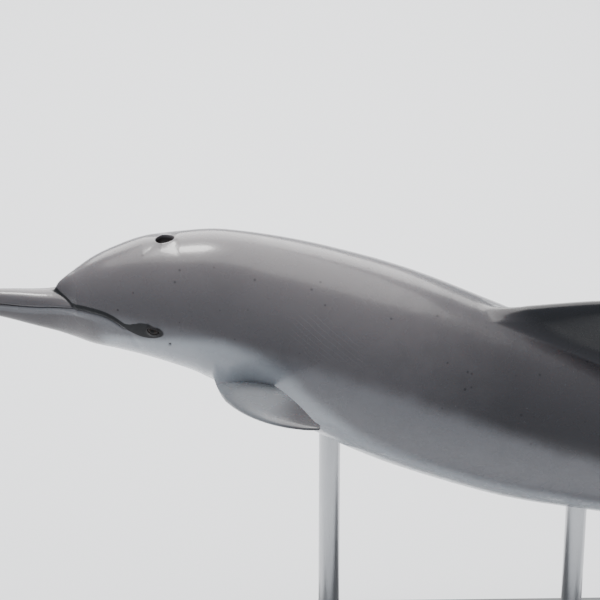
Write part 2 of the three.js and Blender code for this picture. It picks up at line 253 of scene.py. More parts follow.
    def axis(self, station: float) -> Row:
        """Return x, z and pitch of the axis in the frame of the model."""
        x, z, pitch = self._read(station)
        return x - self.trunk[0], z - self.trunk[1] + self.trunk_height, pitch

    def point(self, station: float, right: float, up: float) -> Vector:
        """Return the point at a station, offset to the right and up from the axis."""
        x, z, pitch = self.axis(station)
        return Vector((x + up * math.sin(pitch), right, z + up * math.cos(pitch)))

    @staticmethod
    def rounded(across: float, deep: float, power: float, angle: float) -> float:
        """Return the radius of a rounded section in the direction of the angle.

        Args:
            across: half width of the section.
            deep: half depth of the section.
            power: fullness of the section, 2 for an ellipse.
            angle: direction from the back line, in radians.

        Returns:
            The radius.
        """
        a = abs(math.sin(angle)) / across
        b = abs(math.cos(angle)) / deep
        return (a**power + b**power) ** (-1.0 / power)

    def radius(self, station: float, angle: float) -> float:
        """Return the radius of the body at a station in the direction of the angle.

        Args:
            station: distance along the body axis.
            angle: angle round the body, in radians.

        Returns:
            The radius from the axis to the bare surface.
        """
        side = self.side_at(station)
        cap = 1.0
        if station < self.snout_round:
            cap = 1 - (1 - station / self.snout_round) ** self.snout_power
            cap **= 1 / self.snout_power
        if math.cos(angle) < 0:
            power = self.underside_at(station)
            return cap * self.rounded(side, self.belly_at(station), power, angle)
        melon_start = self.crease - self.melon_lead
        sink = self.jaw_sink * clamp((station - self.crease - self.sink_from) / self.sink_over)
        jaw = self.rounded(side, self.jaw_top_at(station), self.jaw_power, angle) - sink
        if station <= melon_start:
            return cap * jaw
        spread = min((station - melon_start) / self.melon_over, 1.0) ** self.melon_power
        top = self.thin if station < self.crease - self.melon_foot else self.back_at(station)
        melon = self.rounded(side * spread, top, 2.0, angle)
        soft = soft_max(jaw, melon, self.melon_round)
        near, far = self.melon_blend
        blend = smoothstep(station, self.crease + near, self.crease + far)
        return soft + (melon - soft) * blend

    def surface(self, station: float, angle: float, out: float = 0.0) -> Vector:
        """Return the point of the bare surface, moved outward by out.

        Args:
            station: distance along the body axis.
            angle: angle round the body, in radians.
            out: how far outward of the bare surface.

        Returns:
            The point in the frame of the model.
        """
        radius = max(self.radius(station, angle) - self.inset + out, 0.0)
        up = radius * math.cos(angle)
        below = smoothstep(self.mouth_at(station) - up, 0.0, self.chin_edge)
        lead = self.chin_lead * below * max(1 - station / self.chin_over, 0.0)
        return self.point(station - lead, -radius * math.sin(angle), up)

    def crease_line(self, angle: float) -> float:
        """Return the station of the crease at the foot of the melon."""
        share = (angle / (0.5 * math.pi)) ** self.crease_power
        return self.crease - self.crease_lead + self.crease_sweep * share

    def mouth_angle(self, station: float) -> float:
        """Return the angle at which the mouth line runs at a station."""
        radius = max(self.radius(station, math.pi / 2), 0.004)
        return math.acos(clamp(self.mouth_at(station) / radius, -0.9, 0.9))

    def frame(self, station: float) -> Tuple[Vector, Vector, Vector]:
        """Return the aft, up and right directions of the body at a station.

        Args:
            station: distance along the body axis.

        Returns:
            The three unit vectors.
        """
        pitch = self.axis(station)[2]
        aft = Vector((math.cos(pitch), 0.0, -math.sin(pitch)))
        up = Vector((math.sin(pitch), 0.0, math.cos(pitch)))
        return aft, up, Vector((0.0, 1.0, 0.0))


# ---- skin mesh


class Mark(Enum):
    """Values kept on each vertex of the skin, read again by its material."""

    STATION = "station"
    # Share of the dark back; it also carries the painted shade under the lower jaw.
    CAPE = "cape"
    PALE = "pale"
    MASK = "mask"
    FIN = "fin"
    # Painted shade in the mouth line, the openings, the rod bores and the eye slit.
    LINE = "line"


@dataclass
class Patch:
    """A patch of the skin's grid, as ranges of rings and columns."""

    rings: Tuple[int, int]
    columns: Tuple[int, int]
    side: Side = Side.LEFT


class SkinGrid:
    """Closed grid of rings and columns over the body, made from one sphere.

    The rings lie at chosen stations, the columns at chosen angles.  Column 0 is the back line,
    the column in the middle of each side follows the mouth, and the two poles are the tip of
    the beak and the end of the tail.
    """

    SPANS: Sequence[Row] = (
        (0.026, 0.140, 0.0035), (0.140, 0.200, 0.0026), (0.200, 0.318, 0.0030),
        (0.318, 0.382, 0.0026), (0.382, 0.430, 0.0034), (0.430, 0.700, 0.0055),
        (0.700, 1.050, 0.0100), (1.050, 1.470, 0.0080), (1.470, 2.100, 0.0105),
        (2.100, 2.494, 0.0062),
    )
    TIP_RINGS = 36
    TIP_POWER = 2.3
    TAIL_CAP = 0.004
    COLUMNS = 128
    GATHER = (0.30, 0.25)
    GATHER_FADE = (0.42, 0.70)
    MOUTH_FADE = (0.36, 0.55)
    MOUTH_LAST = 0.34
    MOUTH_SHIFT = 0.17
    P_NAME = "patch_p"
    Q_NAME = "patch_q"

    def __init__(self, shape: BodyShape) -> None:
        """Make the sphere and move its vertices onto the body.

        Args:
            shape: the body to cover.
        """
        self.shape = shape
        self.stations = self._stations()
        self.bm = bmesh.new()
        self.layers = {mark: self.bm.verts.layers.float.new(mark.value) for mark in Mark}
        self.p_layer = self.bm.verts.layers.float.new(self.P_NAME)
        self.q_layer = self.bm.verts.layers.float.new(self.Q_NAME)
        self.verts: Dict[Tuple[int, int], bmesh.types.BMVert] = {}
        self._wrap()

    def _stations(self) -> List[float]:
        """Return the stations of the rings, without the two poles.

        Returns:
            The stations in rising order.
        """
        tip = self.SPANS[0][0]
        made = [tip * (k / self.TIP_RINGS) ** self.TIP_POWER for k in range(1, self.TIP_RINGS)]
        for start, end, spacing in self.SPANS:
            count = max(round((end - start) / spacing), 1)
            made += [start + (end - start) * k / count for k in range(count)]
        made.append(self.SPANS[-1][1])
        return made

    def angle_at(self, station: float, column: int) -> float:
        """Return the angle of a column, closer together along the mouth and the eye.

        Args:
            station: where along the body.
            column: column number, from 0 at the back line toward the left side.

        Returns:
            The angle from the back line, in radians.
        """
        turn = 2.0 * (column % self.COLUMNS) / self.COLUMNS
        mirrored = turn > 1.0
        share = 2.0 - turn if mirrored else turn
        gather = self.GATHER[0] + self.GATHER[1] * (1.0 - smoothstep(station, *self.GATHER_FADE))
        angle = share - gather * math.sin(4 * math.pi * (share - 0.5)) / (4 * math.pi)
        fade = 1.0 - smoothstep(station, *self.MOUTH_FADE)
        mouth = self.shape.mouth_angle(min(station, self.MOUTH_LAST)) / math.pi - 0.5
        shift = clamp(mouth, -self.MOUTH_SHIFT, self.MOUTH_SHIFT) * fade
        angle += shift * math.sin(math.pi * share) ** 2
        angle *= math.pi
        return 2 * math.pi - angle if mirrored else angle

    def _wrap(self) -> None:
        """Place a sphere's vertices on the body and keep them by ring and column."""
        rings = len(self.stations) + 1
        bmesh.ops.create_uvsphere(self.bm, u_segments=self.COLUMNS, v_segments=rings, radius=1.0)
        for vert in self.bm.verts:
            ring = round(math.acos(clamp(vert.co.z, -1.0, 1.0)) / math.pi * rings)
            column = round(math.atan2(vert.co.y, vert.co.x) / (2 * math.pi) * self.COLUMNS)
            column %= self.COLUMNS
            if ring in (0, rings):
                column = 0
            self.verts[ring, column] = vert
        for (ring, column), vert in self.verts.items():
            if ring == 0:
                vert.co = self.shape.surface(0.0, 0.0)
                continue
            if ring == rings:
                vert.co = self.shape.point(self.stations[-1] + self.TAIL_CAP, 0.0, 0.0)
                vert[self.layers[Mark.STATION]] = self.stations[-1]
                continue
            station = self.stations[ring - 1]
            angle = self.angle_at(station, column)
            vert[self.layers[Mark.STATION]] = station
            out = Relief.height(self.shape, station, angle)
            aft = Relief.blunt(station) * Relief.mouth(self.shape, station, angle)
            vert.co = self.shape.surface(station, angle, out - aft)
            vert.co.x -= aft

    def ring_near(self, station: float) -> int:
        """Return the number of the ring nearest to a station."""
        return 1 + min(range(len(self.stations)), key=lambda i: abs(self.stations[i] - station))

    def column_near(self, station: float, angle: float) -> int:
        """Return the number of the column nearest to an angle on the left side or the back.

        Args:
            station: distance along the body axis.
            angle: angle round the body, in radians.

        Returns:
            The column number, negative on the right side of the back line.
        """
        half = range(-8, self.COLUMNS // 2 + 9)

        def miss(column: int) -> float:
            """Return how far a column's angle is from the wanted one."""
            turn = 2 * math.pi if column < 0 else 0.0
            return abs(self.angle_at(station, column) - turn - angle)

        return min(half, key=miss)

    def patch(self, start: float, end: float, middle: float, angle: float, half: int,
              side: Side = Side.LEFT) -> Patch:
        """Return the patch between two stations, some columns to each side of an angle.

        Args:
            start: station of the front edge.
            end: station of the rear edge.
            middle: station at which the angle is read.
            angle: angle of the middle column, on the left side.
            half: number of columns on each side of the middle one.
            side: side of the animal.

        Returns:
            The patch, with its columns counted on the left side.
        """
        column = self.column_near(middle, angle)
        rings = (self.ring_near(start), self.ring_near(end))
        return Patch(rings, (column - half, column + half), side)

    def _vert(self, ring: int, column: int, side: Side) -> bmesh.types.BMVert:
        """Return a vertex by ring and left-side column, mirrored for the right side."""
        return self.verts[ring, (column * side.value) % self.COLUMNS]

    def grow(self, patch: Patch, levels: Sequence[Level], marks: Dict[Mark, Sequence[float]]
             ) -> List[bmesh.types.BMVert]:
        """Push a patch through a row of levels, one ring of faces for each.

        Args:
            patch: the patch to push.
            levels: for each level, a function from the patch's own p and q, both from -1 to 1,
                and the vertex's start to its new place on the left side.
            marks: values to leave on the vertices of each level.

        Returns:
            The vertices of the last level.
        """
        (r0, r1), (c0, c1) = patch.rings, patch.columns
        inside: List[bmesh.types.BMVert] = []
        starts: Dict[Tuple[float, float], Vector] = {}
        for ring in range(r0, r1 + 1):
            for column in range(c0, c1 + 1):
                vert = self._vert(ring, column, patch.side)
                p = 2 * (ring - r0) / (r1 - r0) - 1
                q = 2 * (column - c0) / (c1 - c0) - 1
                vert[self.p_layer] = p
                vert[self.q_layer] = q
                starts[round(p, 5), round(q, 5)] = vert.co.copy()
                inside.append(vert)
        faces = self._faces(inside)
        mirror = Vector((1.0, patch.side.value, 1.0))
        cap: List[bmesh.types.BMVert] = []
        for number, level in enumerate(levels):
            made = bmesh.ops.extrude_face_region(self.bm, geom=faces)["geom"]
            stale = [face for face in faces if face.is_valid]
            if stale:
                bmesh.ops.delete(self.bm, geom=stale, context="FACES_ONLY")
            faces = [item for item in made if isinstance(item, bmesh.types.BMFace)]
            cap = [item for item in made if isinstance(item, bmesh.types.BMVert)]
            for vert in cap:
                p, q = vert[self.p_layer], vert[self.q_layer]
                start = starts[round(p, 5), round(q, 5)] * mirror
                vert.co = level(p, q, start) * mirror
                for mark, values in marks.items():
                    vert[self.layers[mark]] = values[number]
        return cap

    def finish(self) -> bmesh.types.BMesh:
        """Drop the layers that only the growing needs.

        Returns:
            The finished mesh.
        """
        for name in (self.P_NAME, self.Q_NAME):
            self.bm.verts.layers.float.remove(self.bm.verts.layers.float[name])
        return self.bm

    @staticmethod
    def _faces(verts: Sequence[bmesh.types.BMVert]) -> List[bmesh.types.BMFace]:
        """Return the faces whose corners are all among the vertices.

        Args:
            verts: the vertices.

        Returns:
            The faces, in the order of the vertices.
        """
        inside = set(verts)
        touched = dict.fromkeys(face for vert in verts for face in vert.link_faces)
        return [face for face in touched if all(corner in inside for corner in face.verts)]


class Relief:
    """Small forms of the skin that the bare body lacks, as heights over it.

    A fold is its height and the middle and half width of its bump, all in metres.
    """

    GROOVE_DEPTH = 0.0034
    GROOVE_WIDTH = 0.0010
    GROOVE_BLUNT = 0.0006
    LIPS = ((0.0009, -0.0050, 0.0034), (0.0005, 0.0056, 0.0040))
    MOUTH_FADE = (-0.020, 0.010)
    BLUNT_OVER = (0.002, 0.016)
    THROAT = (-0.0030, 0.470, 0.030)
    THROAT_ROUND = (1.9, 2.9)
    NECK = (-0.0026, 0.505, 0.040)
    NECK_ROUND = (1.15, 0.6)
    CROWN = (0.0022, 0.352, 0.030)
    CROWN_ROUND = (0.0, 0.30)
    CHEEK_DEPTH = -0.0016
    CHEEK_WIDTH = 0.008
    CHEEK_LINE = (0.318, 0.06, 1.75)
    CHEEK_ROUND = (1.80, 0.16)
    CREASE_ROUND = (1.28, 1.46)
    CREASE_DEPTH = -0.0018
    CREASE_WIDTH = 0.0040
    SWELLS = ((5.0, 0.0016), (14.0, 0.0004))
    SETTLE = 0.0006

    @staticmethod
    def height(shape: BodyShape, station: float, angle: float) -> float:
        """Return the height of the skin over the bare body.

        Args:
            shape: the body.
            station: where along it.
            angle: where round it.

        Returns:
            The height in metres, negative in a groove.
        """
        round_angle = abs(angle if angle <= math.pi else 2 * math.pi - angle)
        high = Relief.mouth(shape, station, round_angle)
        high += Relief._crease(shape, station, round_angle)
        high += Relief._folds(station, round_angle)
        return high + Relief._flesh(shape, station, angle)

    @staticmethod
    def blunt(station: float) -> float:
        """Return 1 on the blunt front of the beak, where the skin faces forward, and 0 behind it."""
        return 1.0 - smoothstep(station, *Relief.BLUNT_OVER)

    @staticmethod
    def mouth(shape: BodyShape, station: float, angle: float) -> float:
        """Return the lips and the groove between them.

        Args:
            shape: the body.
            station: distance along the body axis.
            angle: angle round the body, in radians.

        Returns:
            The height in metres.
        """
        if station > shape.gape + 0.012:
            return 0.0
        run = shape.mouth_at(station) - shape.radius(station, angle) * math.cos(angle)
        start, end = Relief.MOUTH_FADE
        depth = 1.0 - smoothstep(station, shape.gape + start, shape.gape + end)
        width = Relief.GROOVE_WIDTH + Relief.GROOVE_BLUNT * Relief.blunt(station)
        groove = -Relief.GROOVE_DEPTH * bump(run, 0.0, width)
        lips = Relief._fold(run, *Relief.LIPS[0]) + Relief._fold(run, *Relief.LIPS[1])
        return (groove + lips) * depth

    @staticmethod
    def _fold(place: float, height: float, centre: float, width: float) -> float:
        """Return the height of one fold at a place."""
        return height * bump(place, centre, width)

    @staticmethod
    def _crease(shape: BodyShape, station: float, angle: float) -> float:
        """Return the furrow round the foot of the melon.

        Args:
            shape: the body.
            station: distance along the body axis.
            angle: angle round the body, in radians.

        Returns:
            The height in metres.
        """
        fade = 1.0 - smoothstep(angle, *Relief.CREASE_ROUND)
        line = shape.crease_line(angle)
        return Relief._fold(station, Relief.CREASE_DEPTH, line, Relief.CREASE_WIDTH) * fade

    @staticmethod
    def _folds(station: float, angle: float) -> float:
        """Return the soft folds of cheek, throat and neck.

        Args:
            station: distance along the body axis.
            angle: angle round the body, in radians.

        Returns:
            The height in metres.
        """
        throat = Relief._fold(station, *Relief.THROAT) * smoothstep(angle, *Relief.THROAT_ROUND)
        middle, slope, level = Relief.CHEEK_LINE
        slant = middle + slope * (angle - level)
        cheek = Relief._fold(station, Relief.CHEEK_DEPTH, slant, Relief.CHEEK_WIDTH)
        cheek *= bump(angle, *Relief.CHEEK_ROUND)
        neck = Relief._fold(station, *Relief.NECK) * bump(angle, *Relief.NECK_ROUND)
        crown = Relief._fold(station, *Relief.CROWN) * bump(angle, *Relief.CROWN_ROUND)
        return throat + cheek + neck + crown

    @staticmethod
    def _flesh(shape: BodyShape, station: float, angle: float) -> float:
        """Return the slow unevenness of the flesh under the skin.

        Args:
            shape: the body.
            station: distance along the body axis.
            angle: angle round the body, in radians.

        Returns:
            The height in metres.
        """
        where = shape.point(station, -0.2 * math.sin(angle), 0.2 * math.cos(angle))
        calm = smoothstep(station, 0.10, 0.60)
        swell = sum(noise.noise(where * scale) * high for scale, high in Relief.SWELLS)
        return swell * calm - Relief.SETTLE


# ---- fins


def streamlined(x: float) -> float:
    """Return the half thickness of a streamlined section, from leading to trailing edge."""
    return 5 * (0.2969 * math.sqrt(x) - 0.126 * x - 0.3516 * x**2 + 0.2843 * x**3 - 0.1036 * x**4)


def disk(p: float, q: float) -> Tuple[float, float]:
    """Return the place in a round disk that a place in a square maps to."""
    return p * math.sqrt(1 - q * q / 2), q * math.sqrt(1 - p * p / 2)


@dataclass
class Fin:
    """A fin grown out of a patch of the skin, through sections along its span.

    Attributes:
        rows: (distance out, leading edge, trailing edge, thickness) from root to tip.
        tip: distance out and place along the chord of the tip.
        start: where the root's leading edge lies.
        chord: direction toward the trailing edge.
        span: direction from root to tip.
        across: direction of the thickness.
        first: distance out of the first level.
        levels: number of levels.
        blend: distance over which the root blends into the skin.
        dark: how dark the fin is.
        tip_thickness: thickness at the tip.
        edge: half thickness that is left at the edges.
        crowd: how much closer the levels are at the root and the tip.
        short: how far the last level stays below the tip.
        head_start: distance that counts as gone at the root.
        blend_power: how the fin takes over from the skin.
        fade: distances out between which the fin turns dark.
    """

    rows: Sequence[Row]
    tip: Tuple[float, float]
    start: Vector
    chord: Vector
    span: Vector
    across: Vector
    first: float = 0.004
    levels: int = 26
    blend: float = 0.030
    dark: float = 1.0
    tip_thickness: float = 0.003
    edge: float = 0.0008
    crowd: float = 0.10
    short: float = 0.0015
    head_start: float = 0.004
    blend_power: float = 0.6
    fade: Tuple[float, float] = (-0.01, 0.05)

    def __post_init__(self) -> None:
        """Turn the rows into curves."""
        last = (self.tip[0], self.tip_thickness)
        self.lead = Curve([(row[0], row[1]) for row in self.rows] + [self.tip])
        self.trail = Curve([(row[0], row[2]) for row in self.rows] + [self.tip])
        self.thick = Curve([(row[0], row[3]) for row in self.rows] + [last])

    def place(self, out: float, p: float, q: float) -> Vector:
        """Return the point of the section at a distance out.

        Args:
            out: distance from the root.
            p: place along the chord, -1 at the leading edge.
            q: place across the thickness.

        Returns:
            The point on or in the section.
        """
        u, v = disk(p, q)
        rim = math.sqrt(max(1 - u * u, 1e-9))
        x = clamp((1 + u) / 2)
        half = self.thick(out) * streamlined(x) + self.edge * rim
        lead, trail = self.lead(out), self.trail(out)
        share = clamp(v / rim, -1.0, 1.0)
        along = lead + (trail - lead) * x
        return self.start + self.span * out + self.chord * along + self.across * (share * half)

    def steps(self) -> List[float]:
        """Return the distances out of the levels, closer at the root and the tip.

        Returns:
            The distances in rising order.
        """
        end = self.tip[0] - self.short
        made = []
        for k in range(self.levels):
            t = k / (self.levels - 1)
            eased = t - self.crowd * math.sin(2 * math.pi * t)
            made.append(self.first + (end - self.first) * clamp(eased))
        return made

    def _level(self, out: float) -> Level:
        """Return one level of the fin, blended into the skin near the root.

        Args:
            out: distance of the level from the root.

        Returns:
            The level.
        """
        share = clamp((out + self.head_start) / self.blend) ** self.blend_power

        def level(p: float, q: float, start: Vector) -> Vector:
            """Return the new place of a vertex from its own p, q and start."""
            return start.lerp(self.place(out, p, q), share)

        return level

    def build(self, grid: SkinGrid, patch: Patch) -> None:
        """Grow the fin from the patch.

        Args:
            grid: the skin.
            patch: the patch at the fin's root.
        """
        steps = self.steps()
        dark = [self.dark * smoothstep(out, *self.fade) for out in steps]
        grid.grow(patch, [self._level(out) for out in steps], {Mark.FIN: dark})


@dataclass
class Fins:
    """The five fins of the animal.

    A fin has a station, rows and a tip, as a Fin takes them, and the edges of its patch on the
    skin: as margins before and after its root, or as start, end and middle for the flukes.
    """

    FLIPPER_TONE = 0.62

    shape: BodyShape
    dorsal_station: float = 1.046
    dorsal_rows: Sequence[Row] = (
        (0.000, 0.000, 0.390, 0.056), (0.020, 0.034, 0.386, 0.050), (0.045, 0.074, 0.381, 0.044),
        (0.080, 0.130, 0.375, 0.038), (0.120, 0.197, 0.372, 0.032), (0.160, 0.270, 0.377, 0.026),
        (0.195, 0.337, 0.390, 0.019), (0.220, 0.387, 0.411, 0.012), (0.236, 0.425, 0.434, 0.006),
    )
    dorsal_tip: Tuple[float, float] = (0.240, 0.439)
    dorsal_margins: Tuple[float, float] = (0.016, 0.012)
    flipper_station: float = 0.572
    flipper_angle: float = 117.0
    reach_left: Row = (0.118, -0.272, 0.045)
    reach_right: Row = (0.124, -0.266, -0.020)
    flipper_twist: float = -25.0
    flipper_rows: Sequence[Row] = (
        (0.000, -0.058, 0.054, 0.038), (0.038, -0.058, 0.056, 0.034), (0.084, -0.056, 0.060, 0.029),
        (0.131, -0.049, 0.062, 0.024), (0.178, -0.036, 0.062, 0.019), (0.225, -0.015, 0.060, 0.0135),
        (0.262, 0.010, 0.058, 0.009), (0.287, 0.033, 0.059, 0.006),
    )
    flipper_tip: Tuple[float, float] = (0.300, 0.052)
    flipper_margins: Tuple[float, float] = (0.068, 0.070)
    fluke_station: float = 2.270
    fluke_rows: Sequence[Row] = (
        (0.000, -0.020, 0.230, 0.044), (0.030, 0.014, 0.252, 0.038), (0.070, 0.050, 0.269, 0.031),
        (0.120, 0.093, 0.274, 0.025), (0.170, 0.138, 0.275, 0.019), (0.220, 0.188, 0.279, 0.013),
        (0.262, 0.236, 0.289, 0.008), (0.286, 0.270, 0.298, 0.005),
    )
    fluke_tip: Tuple[float, float] = (0.299, 0.301)
    fluke_patch: Row = (2.254, 2.4875, 2.38)

    def dorsal(self, grid: SkinGrid) -> None:
        """Grow the dorsal fin from the back line.

        Args:
            grid: the skin.
        """
        end = self.dorsal_station + self.dorsal_rows[0][2]
        start = self.shape.surface(self.dorsal_station, 0.0)
        rear = self.shape.surface(end, 0.0)
        aft = (rear - start).normalized()
        left = Vector((0.0, -1.0, 0.0))
        up = left.cross(aft).normalized()
        fin = Fin(self.dorsal_rows, self.dorsal_tip, start, aft, up, left, first=0.002, levels=30)
        before, after = self.dorsal_margins
        fin.build(grid, grid.patch(self.dorsal_station - before, end + after, 1.2, 0.0, 6))

    def flipper(self, grid: SkinGrid, side: Side) -> None:
        """Grow one flipper from the low flank.

        Args:
            grid: the skin.
            side: side of the animal.
        """
        angle = math.radians(self.flipper_angle)
        start = self.shape.surface(self.flipper_station, angle)
        span = Vector(self.reach_left if side is Side.LEFT else self.reach_right).normalized()
        aft = self.shape.frame(self.flipper_station)[0]
        chord = (aft - span * aft.dot(span)).normalized()
        chord.rotate(Quaternion(span, math.radians(-self.flipper_twist)))
        across = span.cross(chord)
        fin = Fin(self.flipper_rows, self.flipper_tip, start, chord, span, across,
                  dark=self.FLIPPER_TONE)
        station = self.flipper_station
        before, after = self.flipper_margins
        fin.build(grid, grid.patch(station - before, station + after, station, angle, 3, side))

    def fluke(self, grid: SkinGrid, side: Side) -> None:
        """Grow one fluke from the side of the tail.

        Args:
            grid: the skin.
            side: side of the animal.
        """
        aft, up, right = self.shape.frame(self.fluke_station + 0.110)
        start = self.shape.point(self.fluke_station, -0.00015, 0.0)
        fin = Fin(self.fluke_rows, self.fluke_tip, start, aft, -right, -up, first=0.020, blend=0.045)
        fin.build(grid, grid.patch(*self.fluke_patch, math.pi / 2, 13, side))

    def build(self, grid: SkinGrid) -> None:
        """Grow all five fins.

        Args:
            grid: the skin.
        """
        self.dorsal(grid)
        for side in Side:
            self.flipper(grid, side)
            self.fluke(grid, side)


# ---- small forms


class Spot:
    """A tangent frame on the bare body: a point, its outward normal, aft and up directions."""

    def __init__(self, shape: BodyShape, station: float, angle: float) -> None:
        """Work out the frame from the surface round the point.

        Args:
            shape: the body.
            station: distance along the body axis.
            angle: angle round the body, in radians.
        """
        self.shape, self.station, self.angle = shape, station, angle
        self.tilt = 0.0
        step = 0.004
        point = shape.surface(station, angle)
        along = shape.surface(station + step, angle) - shape.surface(station - step, angle)
        turn = step / max(shape.radius(station, angle), 0.01)
        down = shape.surface(station, angle + turn) - shape.surface(station, angle - turn)
        self.aft = along.normalized()
        self.normal = down.cross(along).normalized()
        if self.normal.dot(point - shape.point(station, 0.0, 0.0)) < 0:
            self.normal.negate()
        self.down = (down - self.aft * down.dot(self.aft)).normalized()

    def skin(self, along: float, down: float, high: float) -> Vector:
        """Return the point of the skin at two offsets from the spot, moved outward by high.

        Args:
            along: offset toward the tail.
            down: offset round the body, away from the back.
            high: height over the skin.

        Returns:
            The point.
        """
        aft = along * math.cos(self.tilt) - down * math.sin(self.tilt)
        side = along * math.sin(self.tilt) + down * math.cos(self.tilt)
        station = self.station + aft
        angle = self.angle + side / self.shape.radius(self.station, self.angle)
        out = Relief.height(self.shape, station, angle) + high
        return self.shape.surface(station, angle, out)


@dataclass
class Eye:
    """One eye: lids grown out of the skin, a closed socket, and the eyeball.

    Attributes:
        station, angle: where along the body and round it, in degrees.
        radius, bulge: radius of the ball, and how far it stands out.
        clearance: play between ball and socket.
        slit: half length and half height of the opening between the lids.
        tilt: slant of the slit, in degrees.
        patch_half: half length of the patch that becomes the lids.
        lid_round, lid_sink: rounding where the lids leave the skin, and how low it lies.
        cornea, cornea_fade: height of the cornea, and where on the ball it rises, as shares.
        play: how much smaller than its solid the ball is, as a share.
        BROW, RIM: size, height and share of the rings round the slit, and at its rim.
        SOCKET: reach of the socket's rings behind the lids, in degrees.
        LINE: painted shade on each ring, darkest at the slit and in the socket.
    """

    shape: BodyShape
    side: Side
    station: float = 0.360
    angle: float = 86.0
    radius: float = 0.015
    bulge: float = 0.0045
    clearance: float = 0.0004
    slit: Tuple[float, float] = (0.0122, 0.0034)
    tilt: float = 9.0
    patch_half: float = 0.024
    lid_round: float = 0.0014
    lid_sink: float = 0.0002
    cornea: float = 0.016
    cornea_fade: Tuple[float, float] = (0.80, 0.96)
    play: float = 0.012

    BROW = (
        ((0.0205, 0.0138), 0.0, 0.60), ((0.0182, 0.0112), 0.0004, 0.90),
        ((0.0160, 0.0088), 0.0010, 0.98), ((0.0142, 0.0071), 0.0015, 0.99),
    )
    RIM = ((0.0013, 0.0011, 0.0017), (0.0005, 0.0004, 0.0014), (0.0001, 0.0001, 0.0009))
    SOCKET = ((58.0, 38.0), (72.0, 66.0), (92.0, 90.0), (120.0, 120.0), (150.0, 150.0))
    LINE = (0.0, 0.1, 0.2, 0.4, 0.7, 0.9, 1.0, 1.0, 1.0, 1.0, 1.0, 1.0, 1.0)

    def __post_init__(self) -> None:
        """Find the middle of the ball and the frame of the lids."""
        turn = math.radians(self.angle)
        out = self.bulge - self.radius + self.shape.inset
        self.centre = self.shape.surface(self.station, turn, out)
        self.spot = Spot(self.shape, self.station, turn)
        self.spot.tilt = math.radians(self.tilt)

    def _lid(self, size: Tuple[float, float], lift: float, share: float) -> Level:
        """Return a level of the lids: an oval ring that rides on the ball.

        Args:
            size: half length and half height of the ring.
            lift: height over the ball.
            share: how far the ring has left the skin's old place.

        Returns:
            The level.
        """

        def level(p: float, q: float, start: Vector) -> Vector:
            """Return the new place of a vertex on the ring.

            Args:
                p: place along the patch, from -1 to 1.
                q: place across the patch, from -1 to 1.
                start: the vertex's old place.

            Returns:
                The new place.
            """
            u, v = disk(p, q)
            ground = self.spot.skin(size[0] * u, size[1] * v, 0.0) - self.centre
            ball = self.radius + lift
            far = ground.length
            reach = ball
            if share < 1.0:
                reach = soft_max(ball, far, self.lid_round) - self.lid_sink
            return start.lerp(self.centre + ground * (reach / far), share)

        return level

    def _socket(self, reach: Tuple[float, float], last: bool) -> Level:
        """Return a level of the socket, which closes round the ball from behind.

        Args:
            reach: angles from the front of the ball, along and across, in degrees.
            last: whether the level is the closed rear wall.

        Returns:
            The level.
        """
        radius = self.radius + self.clearance

        def level(p: float, q: float, _: Vector) -> Vector:
            """Return the new place of a vertex on the socket.

            Args:
                p: place along the patch, from -1 to 1.
                q: place across the patch, from -1 to 1.

            Returns:
                The new place.
            """
            u, v = disk(p, q)
            across, down = math.radians(reach[0]) * u, math.radians(reach[1]) * v
            if last:
                rho = max(math.hypot(u, v), 1e-6)
                turn = math.pi - math.radians(180 - reach[0]) * rho
                across, down = turn * u / rho, turn * v / rho
            turn = max(math.hypot(across, down), 1e-6)
            aft = self.spot.aft * math.cos(self.spot.tilt) + self.spot.down * math.sin(self.spot.tilt)
            low = self.spot.down * math.cos(self.spot.tilt) - self.spot.aft * math.sin(self.spot.tilt)
            aside = (aft * across + low * down) / turn
            return self.centre + (aside * math.sin(turn) + self.spot.normal * math.cos(turn)) * radius

        return level

    def grow(self, grid: SkinGrid) -> None:
        """Grow the lids and the socket out of the skin.

        Args:
            grid: the skin.
        """
        width, height = self.slit
        levels = [self._lid(*ring) for ring in self.BROW]
        levels += [self._lid((width + wider, height + taller), lift, 1.0)
                   for wider, taller, lift in self.RIM]
        levels.append(self._lid(self.slit, self.clearance, 1.0))
        levels += [self._socket(reach, reach == self.SOCKET[-1]) for reach in self.SOCKET]
        patch = grid.patch(self.station - self.patch_half, self.station + self.patch_half,
                           self.station, math.radians(self.angle), 6, self.side)
        grid.grow(patch, levels, {Mark.LINE: self.LINE})

    def ball(self) -> bpy.types.Object:
        """Return the eyeball with its raised cornea.

        Returns:
            The eyeball.
        """
        bm = bmesh.new()
        bmesh.ops.create_uvsphere(bm, u_segments=48, v_segments=36, radius=self.radius)
        layer = bm.verts.layers.float.new("front")
        turn = Vector((0.0, 0.0, 1.0)).rotation_difference(self.spot.normal).to_matrix()
        for vert in bm.verts:
            front = vert.co.z / self.radius
            vert[layer] = front
            vert.co *= 1.0 + self.cornea * smoothstep(front, *self.cornea_fade) - self.play
        bmesh.ops.transform(bm, matrix=turn.to_4x4(), verts=bm.verts)
        bmesh.ops.translate(bm, vec=self.centre, verts=bm.verts)
        if self.side is Side.RIGHT:
            bmesh.ops.scale(bm, vec=(1.0, -1.0, 1.0), verts=bm.verts)
        name = f"eyeball_{self.side.name.lower()}"
        ball = mesh_object(name, bm)
        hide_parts(f"eye_{self.side.name.lower()}")
        ball.data.materials.append(WetEye().build())
        return ball


